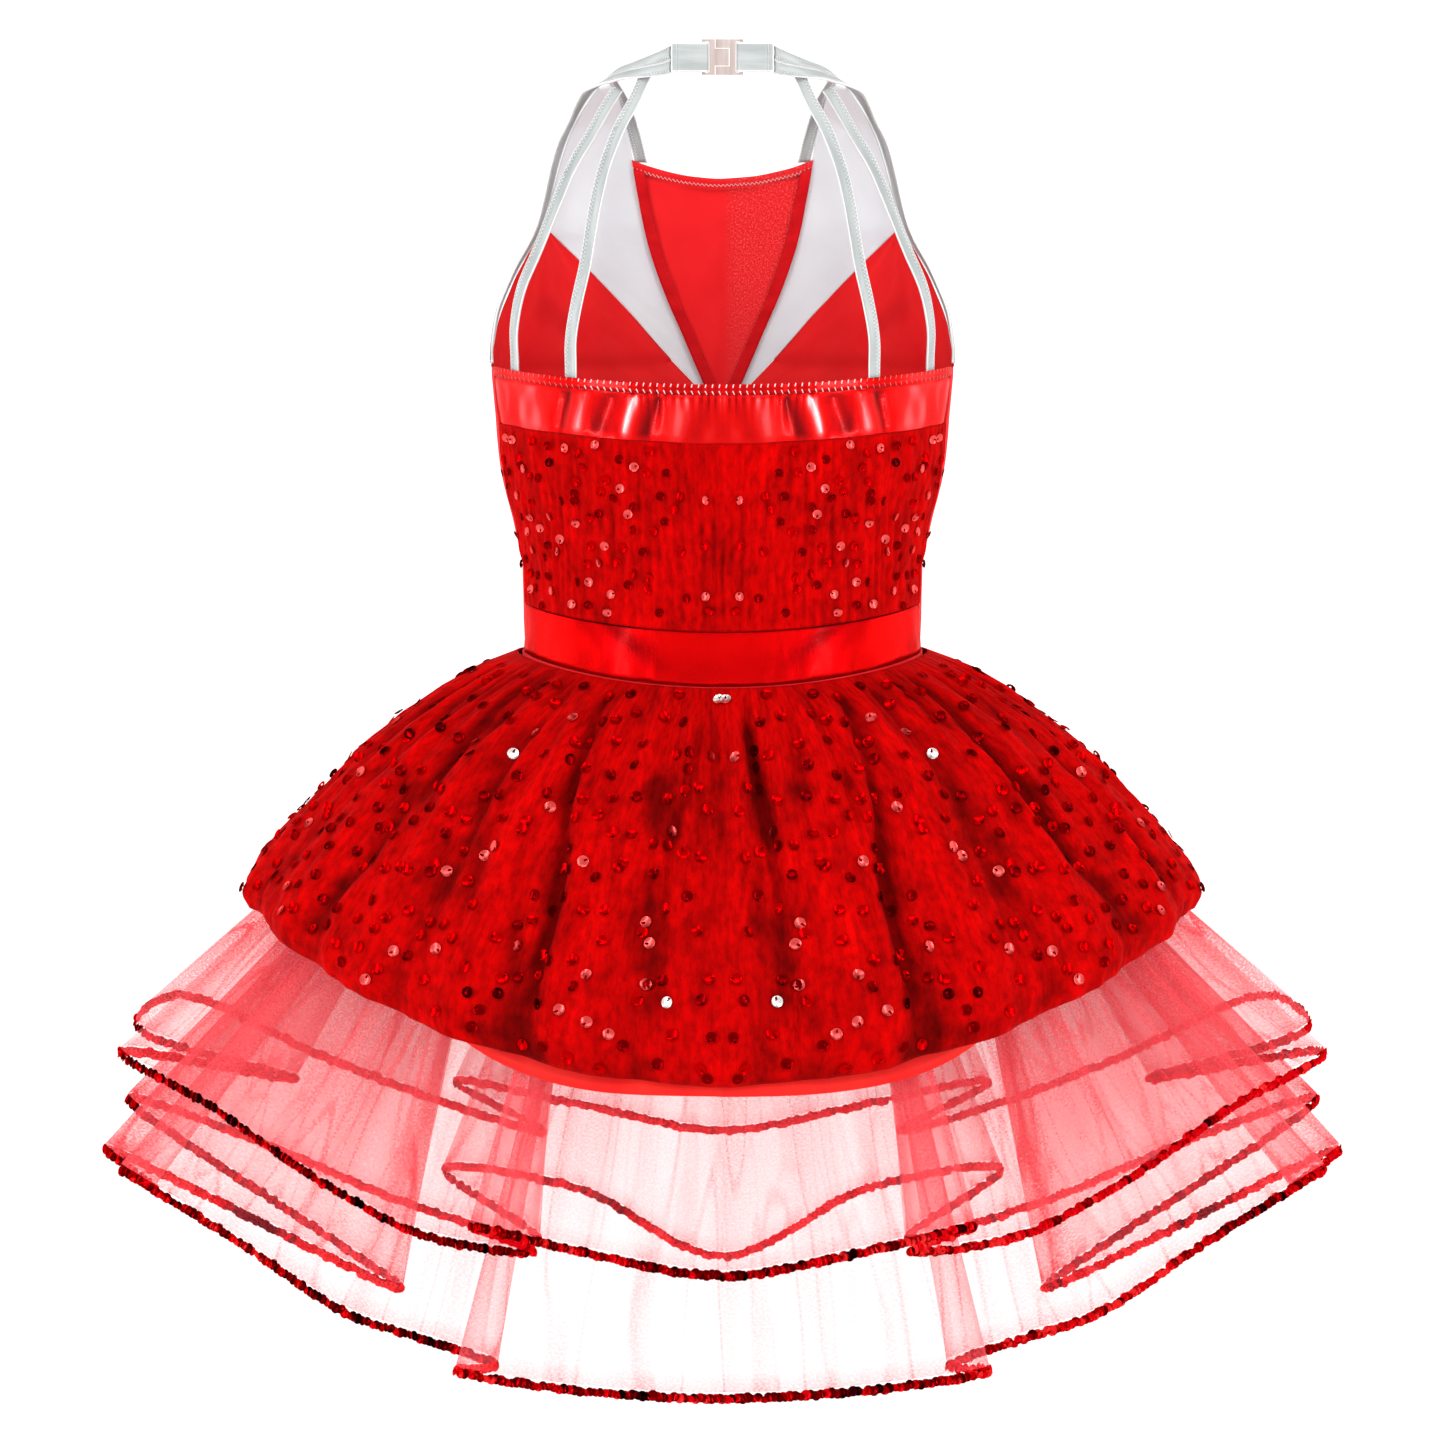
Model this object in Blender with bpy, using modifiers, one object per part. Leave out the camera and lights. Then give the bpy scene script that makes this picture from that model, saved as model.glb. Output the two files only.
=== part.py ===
"""A girl's halter-neck skirted leotard, filled out as it is when worn.

The nape of the neck is the origin. +Z is up, the wearer faces +Y and +X is the wearer's right.
Sizes below are in millimetres and are turned into metres when a mesh is made.
"""

import math

import bmesh
import bpy
import numpy as np
from mathutils.geometry import tessellate_polygon

MM = 0.001

# Walls and seams
FOIL = 1.2
VELVET = 1.6
NET = 1.0
LINING = 1.0
STRAP = 1.3
SEAM = 0.3
SIDE_GAP = 0.5

# The tables' heights are measured from a little above the nape, which is the origin
ORIGIN = (0.0, 0.0, -5.9)

# The torso's axis lies this far in front of the nape
AXIS = 55.0

# The side seams, in degrees round from the middle of the back
SIDE_SEAM = 80.0

# Torso sections: height, half width, half depth
TORSO = (
    (-160.5, 118.8, 80.0),
    (-180.0, 117.3, 80.0),
    (-190.5, 115.8, 80.0),
    (-216.0, 113.3, 79.5),
    (-235.5, 109.3, 78.7),
    (-253.0, 105.2, 77.8),
    (-268.5, 103.2, 77.0),
    (-285.0, 102.7, 76.5),
    (-320.0, 103.6, 76.0),
)

# Seams across the back and front: height at the side seam, drop from there to the middle
BACK_TOP = (-160.5, 6.7)
SEQUIN_TOP = (-189.6, 7.2)
SEQUIN_FOOT = (-282.3, 8.7)
WAIST_BACK = (-307.6, 11.1)
WAIST_FRONT = (-307.6, 6.5)

# Soft drapes in the foil above the sequin panel: place across, rise, half width
YOKE_DRAPES = (
    (0.0, 0.5, 9.0),
    (28.0, 0.9, 6.0),
    (46.0, 1.3, 6.0),
    (75.0, 1.1, 8.0),
    (99.0, 0.8, 8.0),
)

# Front sections above the side seam: height, half width, side's and middle's distance in front of the axis
CHEST = (
    (-160.5, 118.8, 0.0, 80.0),
    (-145.0, 118.1, 12.0, 79.0),
    (-135.0, 116.6, 20.0, 78.0),
    (-124.0, 112.9, 29.0, 76.5),
    (-112.0, 107.7, 34.0, 74.5),
    (-98.0, 100.2, 39.0, 71.5),
    (-86.0, 95.0, 40.0, 68.5),
    (-76.0, 92.9, 40.0, 66.0),
    (-50.0, 86.7, 35.0, 57.0),
    (-36.0, 79.1, 25.0, 49.5),
)

# Seam between red front and white lapel: height, distance from the middle
LAPEL_SEAM = (
    (-190.0, 0.0),
    (-172.0, 17.0),
    (-155.0, 33.0),
    (-136.0, 49.0),
    (-114.0, 70.0),
    (-94.0, 90.0),
    (-86.0, 98.0),
)
LAPEL_MEETS_ARMHOLE = -89.5

# Heights at which the front, the lapels and the bindings beside them all have a row
CHEST_ROWS = (-190.0, -181.0, -172.0, -160.5, -150.0, -135.0, -124.0, -112.0, -98.0, LAPEL_MEETS_ARMHOLE,
              -76.0, -57.0, -46.0, -36.0)

# Inset behind the V of the lapels: height, half width
INSET = (
    (-192.0, 2.0),
    (-172.0, 10.7),
    (-149.0, 19.7),
    (-125.0, 28.8),
    (-98.5, 35.7),
    (-71.5, 41.0),
    (-55.5, 45.6),
)
INSET_LAP = 7.0
INSET_DIP = 9.5

# Neck edge of the front above the inset: height, distance from the middle
NECK_EDGE = (
    (-57.0, 39.5),
    (-46.0, 42.0),
    (-36.0, 44.8),
)

BINDING = 6.5

# The halter from the front's top round to the clasp: lower (armhole) edge, then upper (neck) edge
HALTER = (
    ((71.9, 59.0, -22.5), (49.0, 80.0, -24.0)),
    ((67.5, 50.0, -20.5), (52.9, 67.0, -17.3)),
    ((62.1, 40.0, -19.0), (54.8, 52.0, -13.2)),
    ((56.2, 28.0, -17.8), (50.5, 36.0, -10.3)),
    ((50.9, 18.0, -16.9), (44.5, 24.0, -8.6)),
    ((41.2, 9.0, -15.9), (37.2, 10.5, -5.8)),
    ((28.6, 3.0, -14.6), (27.6, 3.0, -1.6)),
    ((25.4, 0.4, -14.0), (25.4, 0.4, -0.4)),
)
HALTER_LAPEL_ROWS = 2
LAPEL_COLUMNS = 8

# Back straps: points from the halter down to the inside of the back's top edge
STRAP_WIDTH = 6.5
INNER_STRAP = (
    (38.4, 10.8, -14.2),
    (40.2, 9.3, -18.2),
    (44.1, 5.2, -26.9),
    (52.1, 1.2, -41.8),
    (58.6, -1.8, -59.1),
    (63.0, -5.0, -76.4),
    (68.5, -8.0, -108.0),
    (72.8, -8.0, -126.9),
    (76.0, -6.4, -145.9),
    (76.1, -4.5, -160.0),
    (76.1, -4.2, -172.0),
)
OUTER_STRAP = (
    (52.8, 16.0, -21.0),
    (59.4, 13.2, -31.6),
    (66.4, 11.0, -44.1),
    (73.9, 9.2, -56.5),
    (83.0, 8.5, -76.4),
    (93.4, 9.5, -101.8),
    (101.7, 12.2, -120.8),
    (105.7, 17.0, -142.0),
    (105.6, 21.7, -158.0),
    (105.6, 21.8, -169.0),
)

# Clasp: two clear halves that lock in one plane
CLASP_HALF_WIDTH = 10.4
CLASP_HEIGHT = 17.6
CLASP_THICK = 1.6
CLASP_BAR = 1.5
CLASP_SLOT = 2.3
CLASP_SLOT_HEIGHT = 15.4
TONGUE_REACH = 3.2
TONGUE_HALF = 4.2

# Folded loop that holds the halter on its bar
LOOP_REACH = 25.0
LOOP_WALL = 0.9
LOOP_HEIGHT = 14.8
LOOP_INNER = 1.15

# Leotard below the waist: height in the middle and at the edge, half width,
# edge's distance from the axis, middle's distance from the axis, end angle
SEAT = (
    (-319.2, -308.1, 103.8, 0.0, 76.0, 80.0),
    (-350.0, -345.0, 107.5, 0.0, 78.8, 80.0),
    (-390.0, -386.0, 113.0, 0.0, 84.0, 80.0),
    (-425.0, -410.0, 98.0, 38.0, 86.0, 90.0),
    (-460.0, -438.0, 67.0, 50.0, 77.0, 90.0),
    (-488.0, -468.0, 44.0, 40.0, 56.0, 90.0),
    (-507.0, -492.0, 32.0, 22.0, 30.0, 90.0),
    (-514.0, -505.0, 28.0, 0.8, 1.0, 90.0),
)
TUMMY = (
    (-314.6, -308.1, 103.8, 0.0, 76.0, 99.6),
    (-350.0, -345.0, 107.5, 0.0, 78.0, 99.6),
    (-390.0, -386.0, 113.0, 0.0, 81.0, 99.6),
    (-425.0, -410.0, 92.0, 34.0, 76.0, 90.0),
    (-460.0, -438.0, 54.0, 38.0, 62.0, 90.0),
    (-488.0, -468.0, 33.0, 28.0, 40.0, 90.0),
    (-507.0, -492.0, 27.0, 14.0, 20.0, 90.0),
    (-514.0, -505.0, 28.0, 0.8, 1.0, 90.0),
)

# Sequin overskirt: half width and half depth at the waist and at the hem
OVER_WAIST = (106.3, 78.4)
OVER_HEM = (251.5, 176.0)
OVER_HEM_SIDE = -437.0
OVER_HEM_DROP = 66.0
# Shape from waist to hem: share of the way out, share of the way down, gather height, wave height
OVER_PROFILE = (
    (0.00, 0.00, 0.3, 0.0),
    (0.17, 0.085, 1.9, 0.3),
    (0.45, 0.29, 1.9, 1.6),
    (0.72, 0.58, 1.3, 2.8),
    (0.925, 0.84, 0.7, 3.4),
    (1.00, 1.00, 0.4, 3.4),
)
GATHERS = 44
COLUMNS_PER_GATHER = 4

# Plain lining under it
UNDER_WAIST = (106.6, 78.9)
UNDER_TOP = (-319.0, 7.0)
UNDER_HEM = (205.0, 166.0)
UNDER_HEM_SIDE = -395.0
UNDER_HEM_DROP = 114.0
UNDER_PROFILE = (
    (0.00, 0.00),
    (0.28, 0.22),
    (0.62, 0.55),
    (0.88, 0.84),
    (1.00, 1.00),
)
UNDER_COLUMNS = 56

# Net tiers. Waist: half width, half depth, height at the sides, drop to the middle.
# Each row of folds is a fold's edge at the hem, on the wearer's right, from the middle of the back
# to the middle of the front: across, behind the axis, height, angle round the waist
SHORT_NET_WAIST = (107.6, 79.0, -326.0, 8.0)
SHORT_NET_FOLDS = (
    (0.0, 177.0, -595.0, 0.0),
    (63.0, 174.0, -585.0, 15.0),
    (123.0, 163.0, -574.0, 30.0),
    (92.0, 149.0, -590.0, 36.5),
    (146.0, 134.0, -586.0, 45.0),
    (201.0, 116.0, -562.0, 56.0),
    (258.0, 88.0, -530.0, 66.0),
    (306.0, 58.0, -511.0, 76.0),
    (305.0, 34.0, -513.0, 84.0),
    (222.0, 8.0, -533.0, 92.0),
    (310.0, -18.0, -510.0, 100.0),
    (292.0, -42.0, -498.0, 108.0),
    (216.0, -86.0, -541.0, 122.0),
    (150.0, -108.0, -572.0, 134.0),
    (98.0, -131.0, -592.0, 145.5),
    (150.0, -153.0, -568.0, 156.0),
    (76.0, -178.0, -588.0, 168.0),
    (0.0, -183.0, -603.0, 180.0),
)
SHORT_NET_VALLEY = 9
LONG_NET_WAIST = (108.4, 79.6, -336.0, 8.0)
LONG_NET_FOLDS = (
    (0.0, 153.0, -663.0, 0.0),
    (70.0, 150.0, -660.0, 14.0),
    (132.0, 143.0, -652.0, 28.0),
    (112.0, 123.0, -655.0, 35.0),
    (151.0, 118.0, -642.0, 43.0),
    (190.0, 106.0, -632.0, 51.0),
    (242.0, 89.0, -602.0, 62.0),
    (306.0, 74.0, -566.0, 74.0),
    (290.0, 59.0, -580.0, 79.0),
    (318.0, 45.0, -562.0, 85.0),
    (168.0, 8.0, -646.0, 92.0),
    (315.0, -18.0, -549.0, 100.0),
    (252.0, -44.0, -577.0, 112.0),
    (170.0, -66.0, -618.0, 124.0),
    (100.0, -86.0, -642.0, 138.0),
    (154.0, -108.0, -608.0, 150.0),
    (80.0, -128.0, -624.0, 166.0),
    (0.0, -134.0, -664.0, 180.0),
)
LONG_NET_VALLEY = 10
NET_STEPS = 3
NET_LEVELS = (0.0, 0.3, 0.62, 1.0)

# Sequin braid along each net hem
BRAID_HEIGHT = 6.0
BRAID_THICK = 1.8
BRAID_TRIM = 4.5

# Colours, and how rough and how metallic each material is
MATERIALS = {
    "red_foil": ((0.80, 0.005, 0.01), 0.30, 0.55),
    "red_lycra": ((0.82, 0.01, 0.012), 0.60, 0.0),
    "sequin_velvet": ((0.55, 0.002, 0.004), 0.75, 0.0),
    "white_satin": ((0.86, 0.86, 0.90), 0.45, 0.0),
    "silver_strap": ((0.74, 0.76, 0.77), 0.40, 0.2),
    "red_net": ((0.95, 0.12, 0.12), 0.70, 0.0),
    "sequin_braid": ((0.62, 0.0, 0.01), 0.25, 0.4),
    "red_lining": ((0.90, 0.01, 0.01), 0.60, 0.0),
    "clear_plastic": ((0.86, 0.80, 0.78), 0.15, 0.0),
}


def clear_scene():
    for obj in list(bpy.data.objects):
        bpy.data.objects.remove(obj)


def new_collection(name):
    collection = bpy.data.collections.new(name)
    bpy.context.scene.collection.children.link(collection)
    return collection


def material(slot):
    found = bpy.data.materials.get(slot)
    if found:
        return found
    colour, roughness, metallic = MATERIALS[slot]
    made = bpy.data.materials.new(slot)
    made.use_nodes = True
    shader = made.node_tree.nodes["Principled BSDF"]
    shader.inputs["Base Color"].default_value = (*colour, 1.0)
    shader.inputs["Roughness"].default_value = roughness
    shader.inputs["Metallic"].default_value = metallic
    made.diffuse_color = (*colour, 1.0)
    return made


def look_up(table, height, column):
    """A column of a table whose first column is a height that only rises or only falls."""
    rows = sorted(table)
    return float(np.interp(height, [r[0] for r in rows], [r[column] for r in rows]))


def blend(a, b, from_a, to_b, at):
    """The value at a knot on the straight line between two knots' values."""
    return (a * (to_b - at) + b * (at - from_a)) / (to_b - from_a)


def smooth_path(corners, steps):
    """A centripetal Catmull-Rom curve through the corners. Its pace follows the first three columns."""
    points = np.array(corners, float)
    points = np.vstack([2 * points[:1] - points[1:2], points, 2 * points[-1:] - points[-2:-1]])
    made = []
    for p0, p1, p2, p3 in zip(points[:-3], points[1:-2], points[2:-1], points[3:]):
        knots = [0.0]
        for a, b in ((p0, p1), (p1, p2), (p2, p3)):
            knots.append(knots[-1] + math.sqrt(float(np.linalg.norm(b[:3] - a[:3]))))
        t0, t1, t2, t3 = knots
        for k in range(steps):
            at = t1 + (t2 - t1) * k / steps
            a1, a2, a3 = blend(p0, p1, t0, t1, at), blend(p1, p2, t1, t2, at), blend(p2, p3, t2, t3, at)
            made.append(blend(blend(a1, a2, t0, t2, at), blend(a2, a3, t1, t3, at), t1, t2, at))
    made.append(points[-2])
    return np.array(made)


def loft(name, rows, wall, slot, collection, closed=False, mirror=False, side=-1.0):
    """A wall through rows of points, given from the top down and from left to right as seen from
    outside. The rows lie on the wall's outer face, or where side is 1 on its inner face."""
    rows = np.array(rows, float)
    count, across = rows.shape[:2]
    mesh = bpy.data.meshes.new(name)
    faces = []
    for r in range(count - 1):
        for c in range(across if closed else across - 1):
            right = (c + 1) % across
            faces.append((r * across + c, (r + 1) * across + c, (r + 1) * across + right, r * across + right))
    mesh.from_pydata([tuple(p) for p in (rows.reshape(-1, 3) - ORIGIN) * MM], [], faces)
    mesh.shade_smooth()
    mesh.materials.append(material(slot))
    obj = bpy.data.objects.new(name, mesh)
    collection.objects.link(obj)
    if mirror:
        halves = obj.modifiers.new("halves", "MIRROR")
        halves.merge_threshold = 0.00002
    thick = obj.modifiers.new("wall", "SOLIDIFY")
    thick.thickness = wall * MM
    thick.offset = side
    return obj


def both_sides(name, rows, wall, slot, collection, side=-1.0):
    """A piece on the wearer's right, and its mirror image on the left."""
    rows = np.array(rows, float)
    loft(name + "_right", rows, wall, slot, collection, side=side)
    loft(name + "_left", rows[:, ::-1] * (-1.0, 1.0, 1.0), wall, slot, collection, side=side)


def seam_height(seam, cosine):
    """A seam's height where the cosine of the angle from its middle is as given."""
    side, drop = seam
    return side - drop * max(0.0, cosine) ** 2


def back_point(height, angle, out=0.0):
    """A point of the torso behind or beside the axis, moved out from it."""
    width = look_up(TORSO, height, 1) + out
    depth = look_up(TORSO, height, 2) + out
    return np.array((width * math.sin(angle), AXIS - depth * math.cos(angle), height))


def drape(across):
    """How far the yoke's foil stands out at a place across the back."""
    return sum(rise * math.exp(-(((abs(across) - place) / width) ** 2)) for place, rise, width in YOKE_DRAPES)


def back_panel(name, top, foot, levels, columns, wall, slot, collection, out=0.0, draped=False):
    """A panel between two seams, from side seam to side seam. levels are shares of the way down."""
    end = math.radians(SIDE_SEAM)
    rows = []
    for level in levels:
        row = []
        for angle in np.linspace(-end, end, columns + 1):
            upper = seam_height(top, math.cos(angle))
            lower = seam_height(foot, math.cos(angle))
            height = upper + (lower - upper) * level
            fold = 0.0
            if draped:
                fold = drape(back_point(height, angle)[0]) * math.sin(math.pi * (0.12 + 0.8 * level))
            row.append(back_point(height, angle, out + fold))
        rows.append(row)
    return loft(name, rows, wall, slot, collection)


def shifted(seam, down):
    return (seam[0] - down, seam[1])


def make_back(collection):
    back_panel("back_yoke", BACK_TOP, shifted(SEQUIN_TOP, -SEAM), (0.0, 0.2, 0.45, 0.75, 1.0), 36, FOIL,
               "red_foil", collection, draped=True)
    back_panel("back_sequin_panel", SEQUIN_TOP, shifted(SEQUIN_FOOT, -SEAM), (0.0, 0.23, 0.5, 0.75, 1.0), 20,
               VELVET, "sequin_velvet", collection, out=0.4)
    back_panel("back_waist", SEQUIN_FOOT, shifted(WAIST_BACK, -SEAM), (0.0, 0.5, 1.0), 20, FOIL,
               "red_foil", collection)


def chest_shape(height):
    """Half width, the side's and the middle's distance in front of the axis, and the first angle."""
    if height <= CHEST[0][0]:
        return look_up(TORSO, height, 1), 0.0, look_up(TORSO, height, 2), math.radians(SIDE_SEAM)
    width, side, middle = (look_up(CHEST, height, column) for column in (1, 2, 3))
    turn = min(1.0, (height - CHEST[0][0]) / (CHEST[1][0] - CHEST[0][0]))
    return width, side, middle, math.radians(SIDE_SEAM + (90.0 - SIDE_SEAM) * turn)


def chest_point(height, angle, out=0.0):
    """A point of the front at an angle from the middle of the back."""
    width, side, middle, _ = chest_shape(height)
    depth = middle - side
    return np.array(((width + out) * math.sin(angle), AXIS + side - (depth + out) * math.cos(angle), height))


def chest_angle(height, across):
    width = chest_shape(height)[0]
    return math.pi - math.asin(min(1.0, across / width))


def past_edge(height, distance):
    """The angle that lies a distance along the cloth from the armhole's edge or side seam."""
    width, side, middle, first = chest_shape(height)
    pace = math.hypot(width * math.cos(first), (middle - side) * math.sin(first))
    return first + distance / pace


def seam_angle(height):
    """The angle of the seam between red front and white lapel."""
    return max(chest_angle(height, look_up(LAPEL_SEAM, height, 1)), past_edge(height, BINDING + SEAM) + 0.02)


def make_front(collection):
    top = CHEST[0][0]
    plain = [(height, SIDE_GAP) for height in (-309.0, -287.0, -262.0, -240.0, -215.0, -190.0, -181.0, -172.0)]
    step = [(top - 1.0, SIDE_GAP), (top - 0.4, BINDING + SEAM)]
    edged = [(height, BINDING + SEAM) for height in CHEST_ROWS if top < height <= LAPEL_MEETS_ARMHOLE]
    rows = []
    for height, inset in reversed(plain + step + edged):
        last = seam_angle(height) if height > LAPEL_SEAM[0][0] else math.pi
        row = []
        for angle in np.linspace(past_edge(height, inset), last, 13):
            point = chest_point(height, angle)
            if angle == math.pi:
                point[0] = 0.0
            if height == plain[0][0]:
                point[2] = seam_height(WAIST_FRONT, -math.cos(angle)) + SEAM
            row.append(point)
        rows.append(row)
    loft("front_panel", rows, FOIL, "red_lycra", collection, mirror=True)


def lapel_inner_edge(height):
    """Distance from the middle of the front to the lapel's inner edge."""
    if height < NECK_EDGE[0][0]:
        return max(0.4, look_up(INSET, height, 1) - INSET_LAP)
    return look_up(NECK_EDGE, height, 1)


def halter_row(index, begin, end):
    """Points across one row of the halter, between two distances from its lower edge."""
    lower, upper = (np.array(p) for p in HALTER[index])
    width = float(np.linalg.norm(upper - lower))
    return [lower + (upper - lower) * distance / width for distance in np.linspace(begin, end, LAPEL_COLUMNS)]


def halter_width(index):
    lower, upper = (np.array(p) for p in HALTER[index])
    return float(np.linalg.norm(upper - lower))


def neck_angle(height, distance):
    """The angle that lies a distance along the cloth from the neck's edge."""
    width, side, middle, _ = chest_shape(height)
    last = chest_angle(height, look_up(NECK_EDGE, height, 1))
    return last - distance / math.hypot(width * math.cos(last), (middle - side) * math.sin(last))


def make_lapels(collection):
    rows = []
    for height in CHEST_ROWS[1:]:
        if height <= LAPEL_MEETS_ARMHOLE:
            first = seam_angle(height) + SEAM / chest_shape(height)[0]
        else:
            first = past_edge(height, BINDING + SEAM)
        if height < NECK_EDGE[0][0]:
            last = chest_angle(height, lapel_inner_edge(height))
        else:
            last = neck_angle(height, BINDING + SEAM)
        rows.append([chest_point(height, angle) for angle in np.linspace(first, last, LAPEL_COLUMNS)])
        if height == LAPEL_MEETS_ARMHOLE:
            raised = height + 2 * SEAM
            span = np.linspace(past_edge(raised, BINDING + SEAM), last, LAPEL_COLUMNS)
            rows.append([chest_point(raised, angle) for angle in span])
    for index in range(HALTER_LAPEL_ROWS):
        width = halter_width(index)
        rows.append(halter_row(index, BINDING + SEAM, width - BINDING - SEAM))
    both_sides("lapel", rows[::-1], FOIL, "white_satin", collection)


def make_inset(collection):
    heights = [row[0] for row in INSET]
    rows = []
    for height in reversed(heights):
        reach = look_up(INSET, height, 1)
        rise = max(0.0, (height - heights[-3]) / (heights[-1] - heights[-3]))
        row = []
        for share in np.linspace(1.0, -1.0, 9):
            angle = chest_angle(height, abs(share) * reach)
            point = chest_point(height, angle, -(FOIL + 2 * SEAM))
            point[0] = math.copysign(point[0], share)
            point[2] -= INSET_DIP * rise * (1 - share * share)
            row.append(point)
        rows.append(row)
    loft("front_inset", rows, FOIL, "red_foil", collection)


def make_bindings(collection):
    """Bindings of the armholes and neck, which run on side by side to the clasp."""
    armhole, neck = [], []
    for height in CHEST_ROWS:
        if height >= CHEST[0][0]:
            raised = max(height, CHEST[0][0] + 4 * SEAM)
            armhole.append([chest_point(raised, past_edge(raised, out)) for out in (0.0, BINDING)])
        if height >= NECK_EDGE[0][0]:
            neck.append([chest_point(height, neck_angle(height, out)) for out in (BINDING, 0.0)])
    for index in range(len(HALTER)):
        width = halter_width(index)
        strand = min(BINDING, width / 2 - SEAM)
        low = halter_row(index, 0.0, strand)
        high = halter_row(index, width - strand, width)
        armhole.append([low[0], low[-1]])
        neck.append([high[0], high[-1]])
    for name, rows in (("armhole_binding", armhole), ("neck_binding", neck)):
        both_sides(name, rows[::-1], STRAP, "silver_strap", collection, side=1.0)


def make_strap(name, route, collection):
    """A flat strap along a route, lying square to the torso."""
    path = smooth_path(route, 2)
    rows = []
    for i, point in enumerate(path):
        ahead = path[min(i + 1, len(path) - 1)] - path[max(i - 1, 0)]
        out = np.array((point[0] / TORSO[0][1] ** 2, (point[1] - AXIS) / TORSO[0][2] ** 2, 0.0))
        across = np.cross(ahead, out)
        across *= STRAP_WIDTH / 2 / np.linalg.norm(across)
        rows.append([point - across, point + across])
    first, last = np.array(rows[0])
    if last[0] < first[0]:
        rows = [[b, a] for a, b in rows]
    both_sides(name, rows, STRAP, "silver_strap", collection)


def prism(name, rings, half_depth, place, slot, collection):
    """A flat outline, with holes in it, given a thickness. place turns (x, y, depth) into a point,
    measured from the origin."""
    flat = [point for ring in rings for point in ring]
    tessels = tessellate_polygon([[(x, y, 0.0) for x, y in ring] for ring in rings])
    mesh = bpy.data.meshes.new(name)
    form = bmesh.new()
    low, high = ([form.verts.new([c * MM for c in place(x, y, side)]) for x, y in flat]
                 for side in (-half_depth, half_depth))
    for tessel in tessels:
        form.faces.new([low[i] for i in tessel])
        form.faces.new([high[i] for i in reversed(tessel)])
    start = 0
    for ring in rings:
        for i in range(len(ring)):
            a, b = start + i, start + (i + 1) % len(ring)
            form.faces.new([low[a], low[b], high[b], high[a]])
        start += len(ring)
    bmesh.ops.recalc_face_normals(form, faces=form.faces)
    form.to_mesh(mesh)
    form.free()
    mesh.materials.append(material(slot))
    obj = bpy.data.objects.new(name, mesh)
    collection.objects.link(obj)
    return obj


def rounded(corners, radius, steps=3):
    """The corners of an outline, each replaced by an arc. A corner turns by a right angle."""
    made = []
    count = len(corners)
    for i, corner in enumerate(corners):
        here = np.array(corner, float)
        before = np.array(corners[i - 1], float) - here
        after = np.array(corners[(i + 1) % count], float) - here
        before /= np.linalg.norm(before)
        after /= np.linalg.norm(after)
        centre = here + (before + after) * radius
        for k in range(steps + 1):
            turn = math.pi / 2 * k / steps
            made.append(tuple(centre - after * radius * math.cos(turn) - before * radius * math.sin(turn)))
    return made


def box_corners(low_x, high_x, low_z, high_z):
    return [(low_x, low_z), (high_x, low_z), (high_x, high_z), (low_x, high_z)]


def make_clasp(collection):
    """Each half is drawn flat, then stood up so that its inner face is at the nape."""
    half = CLASP_HEIGHT / 2
    slot_half = CLASP_SLOT_HEIGHT / 2
    shoulder = -TONGUE_REACH - SEAM
    tongue = [
        (-CLASP_HALF_WIDTH, -half), (shoulder - SEAM, -half), (shoulder - SEAM, -TONGUE_HALF),
        (TONGUE_REACH, -TONGUE_HALF), (TONGUE_REACH, TONGUE_HALF), (shoulder - SEAM, TONGUE_HALF),
        (shoulder - SEAM, half), (-CLASP_HALF_WIDTH, half),
    ]
    socket_half = TONGUE_HALF + SEAM
    socket = [
        (shoulder, -half), (CLASP_HALF_WIDTH, -half), (CLASP_HALF_WIDTH, half), (shoulder, half),
        (shoulder, socket_half), (TONGUE_REACH + SEAM, socket_half), (TONGUE_REACH + SEAM, -socket_half),
        (shoulder, -socket_half),
    ]
    bar_edge = CLASP_HALF_WIDTH - CLASP_BAR
    for name, outline, side in (("clasp_tongue", tongue, -1), ("clasp_socket", socket, 1)):
        near, far = sorted((side * bar_edge, side * (bar_edge - CLASP_SLOT)))
        slot_hole = rounded(box_corners(near, far, -slot_half, slot_half), 0.6)
        prism(name, [outline, slot_hole[::-1]], CLASP_THICK / 2,
              lambda x, z, depth: (x, depth - CLASP_THICK / 2, z), "clear_plastic", collection)


def make_loops(collection):
    """The halter's end is folded through the slot round the bar and stitched to itself."""
    middle = -CLASP_THICK / 2
    outer = LOOP_INNER + LOOP_WALL
    bend_at = CLASP_HALF_WIDTH - CLASP_BAR + LOOP_INNER - CLASP_SLOT / 2 + 0.05
    bends = [math.pi / 2 * k / 4 for k in range(-4, 5)]
    for side, name in ((1, "halter_loop_right"), (-1, "halter_loop_left")):
        outside = [(bend_at - outer * math.cos(a), middle + outer * math.sin(a)) for a in bends]
        inside = [(bend_at - LOOP_INNER * math.cos(a), middle + LOOP_INNER * math.sin(a))
                  for a in reversed(bends)]
        ring = (
            [(LOOP_REACH, middle - outer)] + outside + [(LOOP_REACH, middle + outer)]
            + [(LOOP_REACH, middle + LOOP_INNER)] + inside + [(LOOP_REACH, middle - LOOP_INNER)]
        )
        prism(name, [[(side * x, y) for x, y in ring]], LOOP_HEIGHT / 2,
              lambda x, y, depth: (x, y, depth), "silver_strap", collection)


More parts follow.
